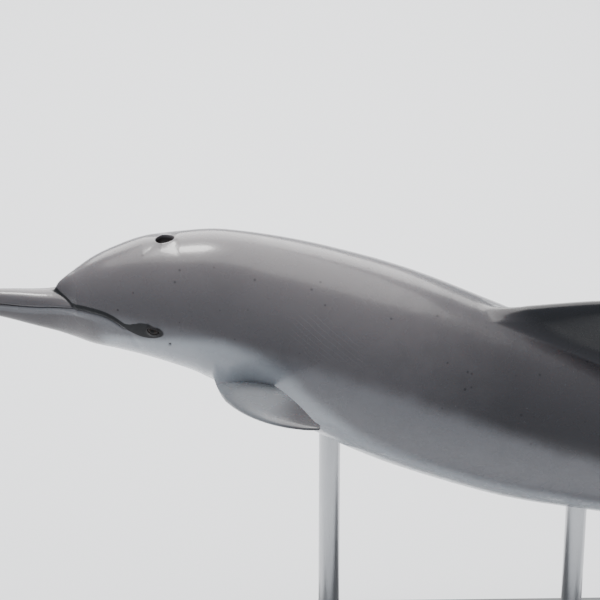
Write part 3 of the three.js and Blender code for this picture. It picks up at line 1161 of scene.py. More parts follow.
@dataclass
class Opening:
    """A small opening or dimple of the skin, grown inward ring by ring.

    Attributes:
        station: middle of the opening.
        angle: where round the body, in degrees.
        size: half length and half width of its rim.
        patch: half length of the patch and its half number of columns.
        rings: (scale of the rim, height) for each level.
        ramp: how far the front of the rim sinks.
        flat: how flat the front edge is, from 0 to 1.
        dark: how dark the painted shade at the bottom is.
        corner: how sharp the ends of the opening are, 1 for an oval.
        ramp_width: how far from the rim, in scale, the front sinks with it.
        flat_over: range of the front half over which it is flattened.
        first_share: how far the first ring leaves the skin's old place.
    """

    station: float
    angle: float
    size: Tuple[float, float]
    patch: Tuple[float, int]
    rings: Sequence[Tuple[float, float]]
    ramp: float = 0.0
    flat: float = 0.0
    dark: float = 1.0
    corner: float = 1.0
    ramp_width: float = 0.45
    flat_over: Tuple[float, float] = (-0.1, 0.3)
    first_share: float = 0.6

    def _level(self, spot: Spot, scale: float, high: float, share: float) -> Level:
        """Return one ring of the opening.

        Args:
            spot: the middle of the opening, on the body.
            scale: size of the ring, 1 for the rim.
            high: height of the ring over the skin.
            share: how far the ring leaves the skin's old place.

        Returns:
            The level.
        """

        def level(p: float, q: float, start: Vector) -> Vector:
            """Return the new place of a vertex on the ring.

            Args:
                p: place along the patch, from -1 to 1.
                q: place across the patch, from -1 to 1.
                start: the vertex's old place.

            Returns:
                The new place.
            """
            u, v = disk(p, q)
            along = self.size[0] * scale * u * (1.0 - self.flat * smoothstep(-u, *self.flat_over))
            along *= abs(u / max(math.hypot(u, v), 1e-6)) ** (self.corner - 1.0)
            down = self.size[1] * scale * v
            sink = self.ramp * clamp(-u) * bump(scale, 1.0, self.ramp_width)
            return start.lerp(spot.skin(along, down, high - sink), share)

        return level

    def grow(self, grid: SkinGrid, side: Side = Side.LEFT) -> None:
        """Grow the opening into the skin.

        Args:
            grid: the skin.
            side: side of the animal.
        """
        turn = math.radians(self.angle)
        spot = Spot(grid.shape, self.station, turn)
        shares = [self.first_share] + [1.0] * (len(self.rings) - 1)
        levels = [self._level(spot, *ring, share) for ring, share in zip(self.rings, shares)]
        half, columns = self.patch
        patch = grid.patch(self.station - half, self.station + half, self.station, turn, columns, side)
        deep = min(high for _, high in self.rings)
        # Painted shade: rings are painted darker the deeper they lie.
        line = [self.dark * clamp(high / deep * 2.5) for _, high in self.rings]
        grid.grow(patch, levels, {Mark.LINE: line})


class Openings:
    """Every small opening of the skin."""

    BLOWHOLE = Opening(
        0.3600, 0.0, (0.0225, 0.0180), (0.0340, 9),
        ((1.40, 0.0000), (1.28, 0.0006), (1.17, 0.0013), (1.08, 0.0018), (1.03, 0.0015), (1.00, 0.0005),
         (0.975, -0.0020), (0.94, -0.0070), (0.86, -0.0130), (0.66, -0.0180)),
        ramp=0.0034, flat=0.45, corner=1.35,
    )
    EAR = Opening(
        0.398, 96.0, (0.0016, 0.0014), (0.0050, 2),
        ((2.2, -0.0002), (1.3, -0.0006), (0.9, -0.0016), (0.6, -0.0032)),
    )
    NAVEL = Opening(
        1.170, 180.0, (0.0120, 0.0060), (0.0200, 2),
        ((1.5, 0.0002), (1.0, -0.0006), (0.6, -0.0024), (0.4, -0.0036)), dark=0.5,
    )
    SLIT = Opening(
        1.575, 180.0, (0.0560, 0.0026), (0.0680, 2),
        ((1.10, 0.0012), (1.03, 0.0010), (0.98, -0.0010), (0.92, -0.0060)), dark=0.7,
    )
    VENT = Opening(
        1.730, 180.0, (0.0120, 0.0022), (0.0210, 2),
        ((1.4, 0.0010), (1.05, 0.0006), (0.9, -0.0014), (0.7, -0.0050)), dark=0.7,
    )

    def build(self, grid: SkinGrid) -> None:
        """Grow all openings.

        Args:
            grid: the skin.
        """
        for opening in (self.BLOWHOLE, self.NAVEL, self.SLIT, self.VENT):
            opening.grow(grid)
        for side in Side:
            self.EAR.grow(grid, side)


@dataclass
class RodSocket:
    """The bore in the belly that takes one rod of the stand.

    Attributes:
        station: where along the body.
        radius, clearance: radius of the rod, and its play in the bore.
        depth: how far the rod goes into the belly.
        patch_half: half length of the patch that becomes the bore.
        RINGS: how much wider than the bore a ring is, its height, and how far it leaves the skin.
        LINE: painted shade on each ring, darker deeper in the bore.
    """

    shape: BodyShape
    station: float
    radius: float = 0.024
    clearance: float = 0.0006
    depth: float = 0.090
    patch_half: float = 0.040

    RINGS = (
        (0.0074, 0.0, 0.8), (0.0026, 0.0, 1.0), (0.0008, 0.0006, 1.0),
        (0.0, 0.0026, 1.0), (0.0, 0.0300, 1.0), (0.0, 0.0600, 1.0),
    )
    LINE = (0.0, 0.0, 0.2, 0.5, 0.8, 1.0, 1.0)

    def __post_init__(self) -> None:
        """Find the rod's line and the height of its top."""
        self.x = self.shape.axis(self.station)[0]
        self.top = self.shape.surface(self.station, math.pi, self.shape.inset).z + self.depth
        self.bore = self.radius + self.clearance

    def belly(self, x: float, y: float) -> float:
        """Return the height of the belly's skin above a point of the floor.

        Args:
            x: place along the floor.
            y: place across the floor.

        Returns:
            The height.
        """
        station, angle = self.station, math.pi
        for _ in range(12):
            point = self.shape.surface(station, angle)
            radius = self.shape.radius(station, angle)
            station += x - point.x
            angle = math.pi + math.asin(clamp(y / radius, -0.9, 0.9))
        return self.shape.surface(station, angle).z

    def _ring(self, wider: float, rise: float, share: float) -> Level:
        """Return one ring of the bore, which follows the belly.

        Args:
            wider: how much wider than the bore the ring is.
            rise: height of the ring over the belly.
            share: how far the ring leaves the skin's old place.

        Returns:
            The level.
        """
        radius = self.bore + wider

        def level(p: float, q: float, start: Vector) -> Vector:
            """Return the new place of a vertex from its own p, q and start."""
            x, y = self._round(radius, p, q)
            return start.lerp(Vector((x, y, self.belly(x, y) + rise)), share)

        return level

    def _roof(self, p: float, q: float, _: Vector) -> Vector:
        """Return the new place of a vertex on the closed end of the bore."""
        return Vector((*self._round(self.bore, p, q), self.top + self.clearance))

    def _round(self, radius: float, p: float, q: float) -> Tuple[float, float]:
        """Return the place over the floor, on a disk round the rod, of a place on the patch."""
        u, v = disk(p, q)
        return self.x + radius * u, -radius * v

    def grow(self, grid: SkinGrid) -> None:
        """Grow the bore into the skin.

        Args:
            grid: the skin.
        """
        levels = [self._ring(*ring) for ring in self.RINGS] + [self._roof]
        middle = self.station + (self.x - self.shape.surface(self.station, math.pi).x)
        patch = grid.patch(middle - self.patch_half, middle + self.patch_half, middle, math.pi, 6)
        grid.grow(patch, levels, {Mark.LINE: self.LINE})


# ---- materials


class Nodes:
    """Short way to build the node tree of one material."""

    def __init__(self, name: str) -> None:
        """Start an empty material with its output and shader.

        Args:
            name: name of the material.
        """
        self.material = bpy.data.materials.new(name)
        self.material.use_nodes = True
        self.tree = self.material.node_tree
        self.tree.nodes.clear()
        output = self.tree.nodes.new("ShaderNodeOutputMaterial")
        self.shader = self.tree.nodes.new("ShaderNodeBsdfPrincipled")
        self.tree.links.new(self.shader.outputs["BSDF"], output.inputs["Surface"])
        self.object = self.tree.nodes.new("ShaderNodeTexCoord").outputs["Object"]

    def plug(self, socket: bpy.types.NodeSocket, value: object) -> None:
        """Link a socket to another one, or set its constant.

        Args:
            socket: the socket to fill.
            value: another socket to link, or a constant.
        """
        if isinstance(value, bpy.types.NodeSocket):
            self.tree.links.new(value, socket)
        elif isinstance(value, tuple) and len(value) == 3 and socket.type == "RGBA":
            socket.default_value = (*value, 1.0)
        else:
            socket.default_value = value

    def attribute(self, name: str) -> bpy.types.NodeSocket:
        """Return the value of a vertex attribute.

        Args:
            name: name of the attribute.

        Returns:
            The value.
        """
        node = self.tree.nodes.new("ShaderNodeAttribute")
        node.attribute_name = name
        return node.outputs["Fac"]

    def math(self, operation: str, a: object, b: object) -> bpy.types.NodeSocket:
        """Return the result of a sum on two values.

        Args:
            operation: name of the operation.
            a: first value.
            b: second value.

        Returns:
            The result.
        """
        node = self.tree.nodes.new("ShaderNodeMath")
        node.operation = operation
        self.plug(node.inputs[0], a)
        self.plug(node.inputs[1], b)
        return node.outputs[0]

    def scaled(self, value: object, factor: object) -> bpy.types.NodeSocket:
        """Return a value times a factor."""
        return self.math("MULTIPLY", value, factor)

    def swing(self, value: object, factor: float, middle: float = 0.5) -> bpy.types.NodeSocket:
        """Return how far a value is from its middle, times a factor."""
        return self.scaled(self.math("SUBTRACT", value, middle), factor)

    def mix(self, share: object, a: object, b: object) -> bpy.types.NodeSocket:
        """Return a mix of two colours.

        Args:
            share: share of the second one.
            a: first colour.
            b: second colour.

        Returns:
            The colour.
        """
        node = self.tree.nodes.new("ShaderNodeMix")
        node.data_type = "RGBA"
        self.plug(node.inputs["Factor"], share)
        self.plug(node.inputs["A"], a)
        self.plug(node.inputs["B"], b)
        return node.outputs["Result"]

    def ramp(self, value: object, low: float, high: float) -> bpy.types.NodeSocket:
        """Return 0 below low and 1 above high, with a smooth rise.

        Args:
            value: the value to read.
            low: where the rise starts.
            high: where the rise ends.

        Returns:
            The value, from 0 to 1.
        """
        node = self.tree.nodes.new("ShaderNodeMapRange")
        node.interpolation_type = "SMOOTHSTEP"
        self.plug(node.inputs["Value"], value)
        node.inputs["From Min"].default_value = low
        node.inputs["From Max"].default_value = high
        return node.outputs["Result"]

    def stretched(self, scale: Row, turn: Row = (0.0, 0.0, 0.0)) -> bpy.types.NodeSocket:
        """Return the object coordinates, turned and stretched.

        Args:
            scale: stretch along the three axes.
            turn: turn about the three axes.

        Returns:
            The coordinates.
        """
        node = self.tree.nodes.new("ShaderNodeMapping")
        node.inputs["Rotation"].default_value = turn
        node.inputs["Scale"].default_value = scale
        self.plug(node.inputs["Vector"], self.object)
        return node.outputs["Vector"]

    def noise(self, scale: float, detail: float = 3.0, rough: float = 0.5,
              vector: object = None) -> bpy.types.NodeSocket:
        """Return cloudy noise.

        Args:
            scale: how fine the texture is.
            detail: number of octaves.
            rough: strength of the finer octaves.
            vector: coordinates to read, or none for the plain object ones.

        Returns:
            The noise, from 0 to 1.
        """
        node = self.tree.nodes.new("ShaderNodeTexNoise")
        node.inputs["Scale"].default_value = scale
        node.inputs["Detail"].default_value = detail
        node.inputs["Roughness"].default_value = rough
        self.plug(node.inputs["Vector"], self.object if vector is None else vector)
        return node.outputs["Fac"]

    def cells(self, scale: float) -> Tuple[bpy.types.NodeSocket, bpy.types.NodeSocket]:
        """Return the distance to the nearest of many scattered points, and each point's own value.

        Args:
            scale: how close the points lie.

        Returns:
            The distance, and the value of the nearest point.
        """
        node = self.tree.nodes.new("ShaderNodeTexVoronoi")
        node.inputs["Scale"].default_value = scale
        self.plug(node.inputs["Vector"], self.object)
        return node.outputs["Distance"], node.outputs["Color"]

    def bands(self, scale: float, vector: object) -> bpy.types.NodeSocket:
        """Return parallel bands with a little wobble.

        Args:
            scale: how close the bands lie.
            vector: coordinates to read.

        Returns:
            The bands, from 0 to 1.
        """
        node = self.tree.nodes.new("ShaderNodeTexWave")
        node.inputs["Scale"].default_value = scale
        node.inputs["Distortion"].default_value = 1.6
        node.inputs["Detail"].default_value = 2.0
        node.inputs["Detail Scale"].default_value = 1.5
        self.plug(node.inputs["Vector"], vector)
        return node.outputs["Fac"]

    def relief(self, height: object, distance: float, strength: float = 1.0) -> bpy.types.NodeSocket:
        """Return the normal of a bumped surface.

        Args:
            height: height of the relief, from 0 to 1.
            distance: height in metres that 1 stands for.
            strength: how strong the relief shows.

        Returns:
            The bent normal.
        """
        node = self.tree.nodes.new("ShaderNodeBump")
        node.inputs["Strength"].default_value = strength
        node.inputs["Distance"].default_value = distance
        self.plug(node.inputs["Height"], height)
        return node.outputs["Normal"]

    def surface(self, **sockets: object) -> bpy.types.Material:
        """Set the shader's sockets, named with underscores, and return the material.

        Args:
            sockets: value of each of the shader's sockets.

        Returns:
            The material.
        """
        for name, value in sockets.items():
            self.plug(self.shader.inputs[name.replace("_", " ")], value)
        return self.material


@dataclass(frozen=True)
class WetSkin:
    """Wet dolphin skin: dark cape, grey flank, pale belly, black fins, eye patch and stripe, with
    painted shade in grooves and holes and under the lower jaw.
    """

    cape: Colour = (0.100, 0.092, 0.096)
    rear: Colour = (0.036, 0.033, 0.036)
    flank: Colour = (0.162, 0.160, 0.170)
    pale: Colour = (0.400, 0.418, 0.442)
    fin: Colour = (0.006, 0.006, 0.008)
    mask: Colour = (0.004, 0.004, 0.005)
    # Painted shade: near black, for grooves, holes and the eye slit.
    line: Colour = (0.008, 0.005, 0.005)
    scar: Colour = (0.260, 0.250, 0.255)
    roughness: float = 0.27
    spread: float = 0.14
    dry: float = 0.62
    coat: float = 0.30
    coat_roughness: float = 0.07
    coat_ior: float = 1.36
    ior: float = 1.42
    mottled: float = 0.22
    scarred: float = 0.12
    speckled: float = 0.65
    rear_from: Tuple[float, float] = (0.78, 1.16)
    cape_edge: Tuple[float, float] = (0.25, 0.80)
    pale_edge: Tuple[float, float] = (0.20, 0.85)
    mask_edge: Tuple[float, float] = (0.25, 0.60)
    grain_height: float = 0.0007

    SPECKS = ((52.0, 0.17, 0.70), (88.0, 0.12, 0.76))
    RAKES = ((34.0, (0.2, 0.9, 0.3), 3.3), (42.0, (0.1, -0.5, 0.9), 4.1))

    def build(self) -> bpy.types.Material:
        """Return the material.

        Returns:
            The material.
        """
        n = Nodes("wet_skin")
        cloud = n.noise(3.2, 4.0, 0.55)
        mottle = n.noise(24.0, 3.0, 0.5)
        fine = n.noise(210.0, 3.0, 0.6)
        broken = n.math("ADD", n.swing(cloud, 0.35), n.swing(mottle, 0.22))
        line = n.attribute(Mark.LINE.value)
        # Share of the dark back, which also holds the painted shade under the lower jaw.
        upper = n.ramp(n.math("ADD", n.attribute(Mark.CAPE.value), broken), *self.cape_edge)
        lower = n.ramp(n.math("ADD", n.attribute(Mark.PALE.value), broken), *self.pale_edge)
        station = n.math("ADD", n.attribute(Mark.STATION.value), n.scaled(broken, 0.4))
        back = n.mix(n.ramp(station, *self.rear_from), self.cape, self.rear)
        colour = n.mix(upper, self.flank, back)
        colour = n.mix(lower, colour, self.pale)
        colour = n.mix(n.scaled(mottle, self.mottled), colour, self.rear)
        colour = self._specks(n, colour, upper)
        scars = self._scars(n)
        colour = n.mix(n.scaled(scars, self.scarred), colour, self.scar)
        colour = n.mix(n.attribute(Mark.FIN.value), colour, self.fin)
        ragged = n.math("ADD", n.attribute(Mark.MASK.value), n.swing(mottle, 0.30))
        masked = n.ramp(ragged, *self.mask_edge)
        colour = n.mix(masked, colour, self.mask)
        # Painted shade in grooves and holes, darkest where they lie deepest.
        colour = n.mix(line, colour, self.line)
        rough = n.math("ADD", self.roughness - self.spread / 2, n.scaled(mottle, self.spread))
        dull = n.scaled(n.math("MAXIMUM", masked, line), self.dry - self.roughness)
        height = n.math("ADD", n.scaled(fine, 0.35), n.scaled(mottle, 1.1))
        height = n.math("SUBTRACT", height, n.scaled(scars, 0.3))
        return n.surface(
            Base_Color=colour, Roughness=n.math("ADD", rough, dull), IOR=self.ior,
            Normal=n.relief(height, self.grain_height, 0.6), Coat_Weight=self.coat,
            Coat_Roughness=self.coat_roughness, Coat_IOR=self.coat_ior,
            Subsurface_Weight=0.04, Subsurface_Scale=0.01,
        )

    def _specks(self, n: Nodes, colour: bpy.types.NodeSocket, upper: bpy.types.NodeSocket
                ) -> bpy.types.NodeSocket:
        """Return the colour with a few small dark and pale specks.

        Args:
            n: the node tree of the material.
            colour: colour so far.
            upper: share of the dark back and of the painted shade under the lower jaw.

        Returns:
            The colour with the specks.
        """
        for (scale, size, share), tone in zip(self.SPECKS, (self.mask, self.flank)):
            distance, own = n.cells(scale)
            some = n.math("GREATER_THAN", own, share)
            ragged = n.math("ADD", distance, n.swing(own, 0.6, 0.78))
            near = n.math("SUBTRACT", 1.0, n.ramp(ragged, size * 0.4, size))
            found = n.scaled(n.scaled(some, near), upper)
            colour = n.mix(n.scaled(found, self.speckled), colour, tone)
        return colour

    def _scars(self, n: Nodes) -> bpy.types.NodeSocket:
        """Return faint sets of parallel tooth rakes, in a few places only.

        Args:
            n: the node tree of the material.

        Returns:
            How much of a scar there is, from 0 to 1.
        """
        sets = []
        for scale, turn, place in self.RAKES:
            lines = n.ramp(n.bands(scale, n.stretched((1.0, 1.0, 1.0), turn)), 0.93, 0.995)
            where = n.ramp(n.noise(place, 2.0, 0.5, n.stretched((1.0, 2.0, 1.4), turn)), 0.66, 0.72)
            sets.append(n.scaled(lines, where))
        return n.math("MAXIMUM", *sets)


@dataclass(frozen=True)
class WetEye:
    """Dark, wet eyeball with a brown iris and a black pupil."""

    white: Colour = (0.020, 0.015, 0.013)
    iris: Colour = (0.016, 0.008, 0.005)
    pupil: Colour = (0.002, 0.002, 0.002)
    roughness: float = 0.16
    ior: float = 1.34
    iris_edge: Tuple[float, float] = (0.80, 0.85)
    pupil_edge: Tuple[float, float] = (0.935, 0.95)

    def build(self) -> bpy.types.Material:
        """Return the material.

        Returns:
            The material.
        """
        n = Nodes("wet_eye")
        front = n.attribute("front")
        streaks = n.noise(420.0, 3.0, 0.6)
        ragged = n.math("ADD", front, n.swing(streaks, 0.03))
        colour = n.mix(n.ramp(ragged, *self.iris_edge), self.white, self.iris)
        colour = n.mix(n.scaled(streaks, 0.4), colour, self.white)
        colour = n.mix(n.ramp(ragged, *self.pupil_edge), colour, self.pupil)
        return n.surface(Base_Color=colour, Roughness=self.roughness, IOR=self.ior,
                         Normal=n.relief(streaks, 0.00002, 0.2))


@dataclass(frozen=True)
class SatinSteel:
    """Drawn steel with fine marks along or round the piece."""

    base: Colour = (0.52, 0.53, 0.54)
    worn: Colour = (0.36, 0.36, 0.37)
    grain: Row = (1.0, 1.0, 0.02)
    roughness: float = 0.22
    spread: float = 0.16

    def build(self) -> bpy.types.Material:
        """Return the material.

        Returns:
            The material.
        """
        n = Nodes("satin_steel")
        grain = n.noise(900.0, 3.0, 0.7, n.stretched(self.grain))
        cloud = n.noise(7.0, 3.0, 0.5)
        colour = n.mix(n.scaled(cloud, 0.6), self.base, self.worn)
        rough = n.math("ADD", self.roughness, n.scaled(grain, self.spread))
        return n.surface(Base_Color=colour, Metallic=1.0, Roughness=rough,
                         Normal=n.relief(grain, 0.00006, 0.5))


@dataclass(frozen=True)
class PowderCoat:
    """Fine matt powder coat on the base plate."""

    base: Colour = (0.060, 0.062, 0.066)
    dusty: Colour = (0.095, 0.096, 0.099)
    roughness: float = 0.42
    spread: float = 0.14

    def build(self) -> bpy.types.Material:
        """Return the material.

        Returns:
            The material.
        """
        n = Nodes("powder_coat")
        orange_peel = n.noise(620.0, 2.0, 0.5)
        cloud = n.noise(4.0, 4.0, 0.6)
        colour = n.mix(n.scaled(cloud, 0.6), self.base, self.dusty)
        rough = n.math("ADD", self.roughness, n.scaled(cloud, self.spread))
        return n.surface(Base_Color=colour, Roughness=rough,
                         Normal=n.relief(orange_peel, 0.00025, 0.4))


@dataclass(frozen=True)
class StudioPaper:
    """Pale paper of the studio floor."""

    base: Colour = (0.78, 0.79, 0.80)
    shade: Colour = (0.70, 0.71, 0.73)
    roughness: float = 0.8

    def build(self) -> bpy.types.Material:
        """Return the material.

        Returns:
            The material.
        """
        n = Nodes("studio_paper")
        cloud = n.noise(1.5, 2.0, 0.5)
        colour = n.mix(n.scaled(cloud, 0.15), self.base, self.shade)
        return n.surface(Base_Color=colour, Roughness=self.roughness,
                         Normal=n.relief(n.noise(300.0), 0.0002, 0.2))


# ---- pieces


def mesh_object(name: str, bm: bmesh.types.BMesh, smooth: bool = True) -> bpy.types.Object:
    """Turn a bmesh into a linked object that rides on the body.

    Args:
        name: name of the object and its mesh.
        bm: the mesh, freed here.
        smooth: whether its faces are shaded smooth.

    Returns:
        The new object.
    """
    bmesh.ops.recalc_face_normals(bm, faces=bm.faces)
    for face in bm.faces:
        face.smooth = smooth
    mesh = bpy.data.meshes.new(name)
    bm.to_mesh(mesh)
    bm.free()
    made = bpy.data.objects.new(name, mesh)
    bpy.context.scene.collection.objects.link(made)
    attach(made, BODY)
    LOG.info("%s: %d faces", name, len(mesh.polygons))
    return made


def bevel(bm: bmesh.types.BMesh, edges: Sequence[bmesh.types.BMEdge], offset: float, segments: int
          ) -> None:
    """Round some edges of a mesh.

    Args:
        bm: the mesh.
        edges: the edges to round.
        offset: how far the rounding reaches.
        segments: number of faces across the rounding.
    """
    bmesh.ops.bevel(bm, geom=edges, offset=offset, segments=segments, profile=0.5, affect="EDGES",
                    material=-1)


def cylinder(segments: int, radius: float, depth: float) -> bmesh.types.BMesh:
    """Return a closed upright cylinder round the origin.

    Args:
        segments: number of flat faces round it.
        radius: its radius.
        depth: its height.

    Returns:
        The mesh.
    """
    bm = bmesh.new()
    bmesh.ops.create_cone(bm, cap_ends=True, cap_tris=False, segments=segments, radius1=radius,
                          radius2=radius, depth=depth)
    return bm


def level_edge(edge: bmesh.types.BMEdge) -> bool:
    """Return whether an edge lies level."""
    return abs(edge.verts[0].co.z - edge.verts[1].co.z) < 1e-6


@dataclass
class Pattern:
    """The colour pattern of the animal, with painted shade under the lower jaw and along the mouth
    line, written on the skin's vertices.

    Attributes:
        patch_...: station, half size, line, taper and soft edge of the black patch at the eye.
        mask_end: station behind which nothing is black.
        stripe_...: height over the mouth and its rise, reach and half width of the stripe.
        foot_...: half width and end, by angle, of the line along the crease.
        head_fade, jaw_fade, rear_fade: stations between which head, jaw and tail change over.
        cape_edge: angles between which the dark back ends, in degrees.
        pale_...: start and width of the pale belly in degrees, and their change on the head.
        chest_rise: how much higher it reaches on the chest, at what station, over what length.
        rear_dark, chin_painted_shade, chin_shade_fade: darkness of the tail, painted shade under the
        lower jaw, and where that shade starts below the mouth.
        lip_pale, jaw_pale, jaw_edge: how pale lip and lower jaw are (the lower jaw kept dark below the
            lip as painted shade), how far under the mouth.
        line_half, lip_gap_shade: half width and darkness of the painted shade in the groove between the
            lips.
    """

    shape: BodyShape
    patch_middle: float = 0.339
    patch_half: float = 0.044
    patch_height: float = 0.0180
    patch_line: Tuple[float, float] = (0.0045, 0.04)
    patch_taper: float = 0.35
    patch_edge: Tuple[float, float] = (0.72, 1.15)
    mask_end: float = 0.42
    stripe_line: Row = (0.0065, 0.030, 0.25)
    stripe_over: Row = (0.174, 0.186, 0.306, 0.320)
    stripe_half: float = 0.0058
    foot_half: float = 0.0050
    foot_fade: Tuple[float, float] = (1.22, 1.36)
    head_fade: Tuple[float, float] = (0.38, 0.62)
    cape_edge: Tuple[float, float] = (62.0, 98.0)
    pale_from: float = 104.0
    pale_width: float = 34.0
    pale_rise: float = 10.0
    pale_narrow: float = 8.0
    chest_rise: Row = (34.0, 0.57, 0.20)
    jaw_fade: Tuple[float, float] = (0.20, 0.30)
    rear_fade: Tuple[float, float] = (1.75, 2.15)
    rear_dark: float = 0.8
    # Painted shade under the lower jaw, and where it starts.
    chin_painted_shade: float = 0.85
    chin_shade_fade: Tuple[float, float] = (0.010, 0.022)
    lip_pale: Row = (0.30, 0.007, 0.004)
    # Kept low so the lower jaw is darker than its pale skin: painted shade.
    jaw_pale: float = 0.04
    jaw_edge: float = 0.004
    line_half: float = 0.0011
    lip_gap_shade: float = 0.95

    def locate(self, point: Vector) -> Tuple[float, float, float]:
        """Return station, right and up of a point, by walking along the axis.

        Args:
            point: the point to find.

        Returns:
            Station, right and up.
        """
        station = point.x + self.shape.trunk[0]
        for _ in range(4):
            x, z, pitch = self.shape.axis(clamp(station, 0.0, self.shape.length))
            station += (point.x - x) * math.cos(pitch) - (point.z - z) * math.sin(pitch)
        x, z, pitch = self.shape.axis(clamp(station, 0.0, self.shape.length))
        up = (point.x - x) * math.sin(pitch) + (point.z - z) * math.cos(pitch)
        return station, point.y, up

    def mask(self, station: float, up: float, angle: float) -> float:
        """Return how black the skin is: eye patch, and stripe to the melon's crease.

        Args:
            station: distance along the body axis.
            up: height over the axis.
            angle: angle round the body, in radians.

        Returns:
            The share of black, from 0 to 1.
        """
        if station > self.mask_end:
            return 0.0
        along = (station - self.patch_middle) / self.patch_half
        taper = 1.0 if along > 0 else 1.0 - self.patch_taper * min(-along, 1.0)
        line = self.patch_line[0] + self.patch_line[1] * (station - self.patch_middle)
        across = (up - line) / (self.patch_height * taper)
        patch = 1.0 - smoothstep(math.hypot(along, across), *self.patch_edge)
        high, rise, start = self.stripe_line
        edge = self.shape.mouth_at(station) + high + rise * max(station - start, 0.0)
        start, full, fading, end = self.stripe_over
        reach = smoothstep(station, start, full) * (1.0 - smoothstep(station, fading, end))
        stripe = bump(up, edge, self.stripe_half) * reach
        foot = bump(station, self.shape.crease_line(angle), self.foot_half)
        foot *= 1.0 - smoothstep(angle, *self.foot_fade)
        return max(patch, stripe, foot * 0.9)

    def paint(self, grid: SkinGrid) -> None:
        """Write the pattern's values on every vertex of the skin.

        Args:
            grid: the skin.
        """
        layers = grid.layers
        for vert in grid.bm.verts:
            station, right, up = self.locate(vert.co)
            angle = abs(math.atan2(right, up))
            degrees = math.degrees(angle)
            under = self.shape.mouth_at(station) - up
            head = 1.0 - smoothstep(station, *self.head_fade)
            jaw = 1.0 - smoothstep(station, *self.jaw_fade)
            rear = smoothstep(station, *self.rear_fade) * self.rear_dark
            cape = 1.0 - smoothstep(degrees, *self.cape_edge)
            # Painted shade under the lower jaw, written into the dark back's share.
            chin = self.chin_painted_shade * jaw * smoothstep(under, *self.chin_shade_fade)
            rise, chest, width = self.chest_rise
            start = self.pale_from - self.pale_rise * head - rise * bump(station, chest, width)
            pale = smoothstep(degrees, start, start + self.pale_width - self.pale_narrow * head)
            # Pale lip band under the mouth; below it the lower jaw stays dark as painted shade.
            share, low, width = self.lip_pale
            lip = self.jaw_pale + share * bump(under, low, width)
            pale = pale * (1.0 - jaw) + jaw * smoothstep(under, 0.0, self.jaw_edge) * lip
            vert[layers[Mark.STATION]] = station
            vert[layers[Mark.CAPE]] = max(cape, rear, chin)
            vert[layers[Mark.PALE]] = pale * (1.0 - rear)
            vert[layers[Mark.MASK]] = self.mask(station, up, angle)
            # Painted shade in the groove between the lips.
            if station < self.shape.gape + 0.004:
                width = self.line_half + Relief.GROOVE_BLUNT * Relief.blunt(station)
                lips = bump(abs(under), 0.0, width) * self.lip_gap_shade
                vert[layers[Mark.LINE]] = max(vert[layers[Mark.LINE]], lips)


class Skin:
    """The one closed skin of the animal."""

    FLESH = (
        "upper_jaw", "lower_jaw", "melon", "head", "neck", "chest", "trunk", "loin",
        "tail_stock_front", "tail_stock_rear", "dorsal_fin", "flipper_left", "flipper_right",
        "fluke_left", "fluke_right",
    )
    FLIPPER_LAST = 0.80
    ROOT_SHARE = 0.95
    EASE_ROUNDS = 3
    EASE = 0.4

    def __init__(self, shape: BodyShape, rods: Sequence[RodSocket]) -> None:
        """Keep what the skin is made from.

        Args:
            shape: the body.
            rods: the sockets of the stand's rods.
        """
        self.shape = shape
        self.rods = rods

    def build(self) -> bpy.types.Object:
        """Return the finished skin.

        Returns:
            The skin.
        """
        grid = SkinGrid(self.shape)
        Fins(self.shape).build(grid)
        for side in Side:
            Eye(self.shape, side).grow(grid)
        Openings().build(grid)
        for rod in self.rods:
            rod.grow(grid)
        self._ease(grid)
        Pattern(self.shape).paint(grid)
        skin = mesh_object("skin", grid.finish())
        skin.data.materials.append(WetSkin().build())
        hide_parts(*self.FLESH)
        return skin

    def _ease(self, grid: SkinGrid) -> None:
        """Relax the roots of the fins, where they leave the body.

        Args:
            grid: the skin.
        """
        fin, line, station = (grid.layers[mark] for mark in (Mark.FIN, Mark.LINE, Mark.STATION))
        roots = []
        for vert in grid.bm.verts:
            full = Fins.FLIPPER_TONE if vert[station] < self.FLIPPER_LAST else 1.0
            at_root = 0.0 < vert[fin] < self.ROOT_SHARE * full or self._near_root(vert, fin)
            if vert[line] == 0.0 and at_root:
                roots.append(vert)
        for _ in range(self.EASE_ROUNDS):
            bmesh.ops.smooth_vert(grid.bm, verts=roots, factor=self.EASE, use_axis_x=True,
                                  use_axis_y=True, use_axis_z=True)

    @staticmethod
    def _near_root(vert: bmesh.types.BMVert, fin: bmesh.types.BMLayerItem) -> bool:
        """Return whether a body vertex touches the first ring of a fin."""
        return vert[fin] == 0.0 and any(edge.other_vert(vert)[fin] > 0.0 for edge in vert.link_edges)


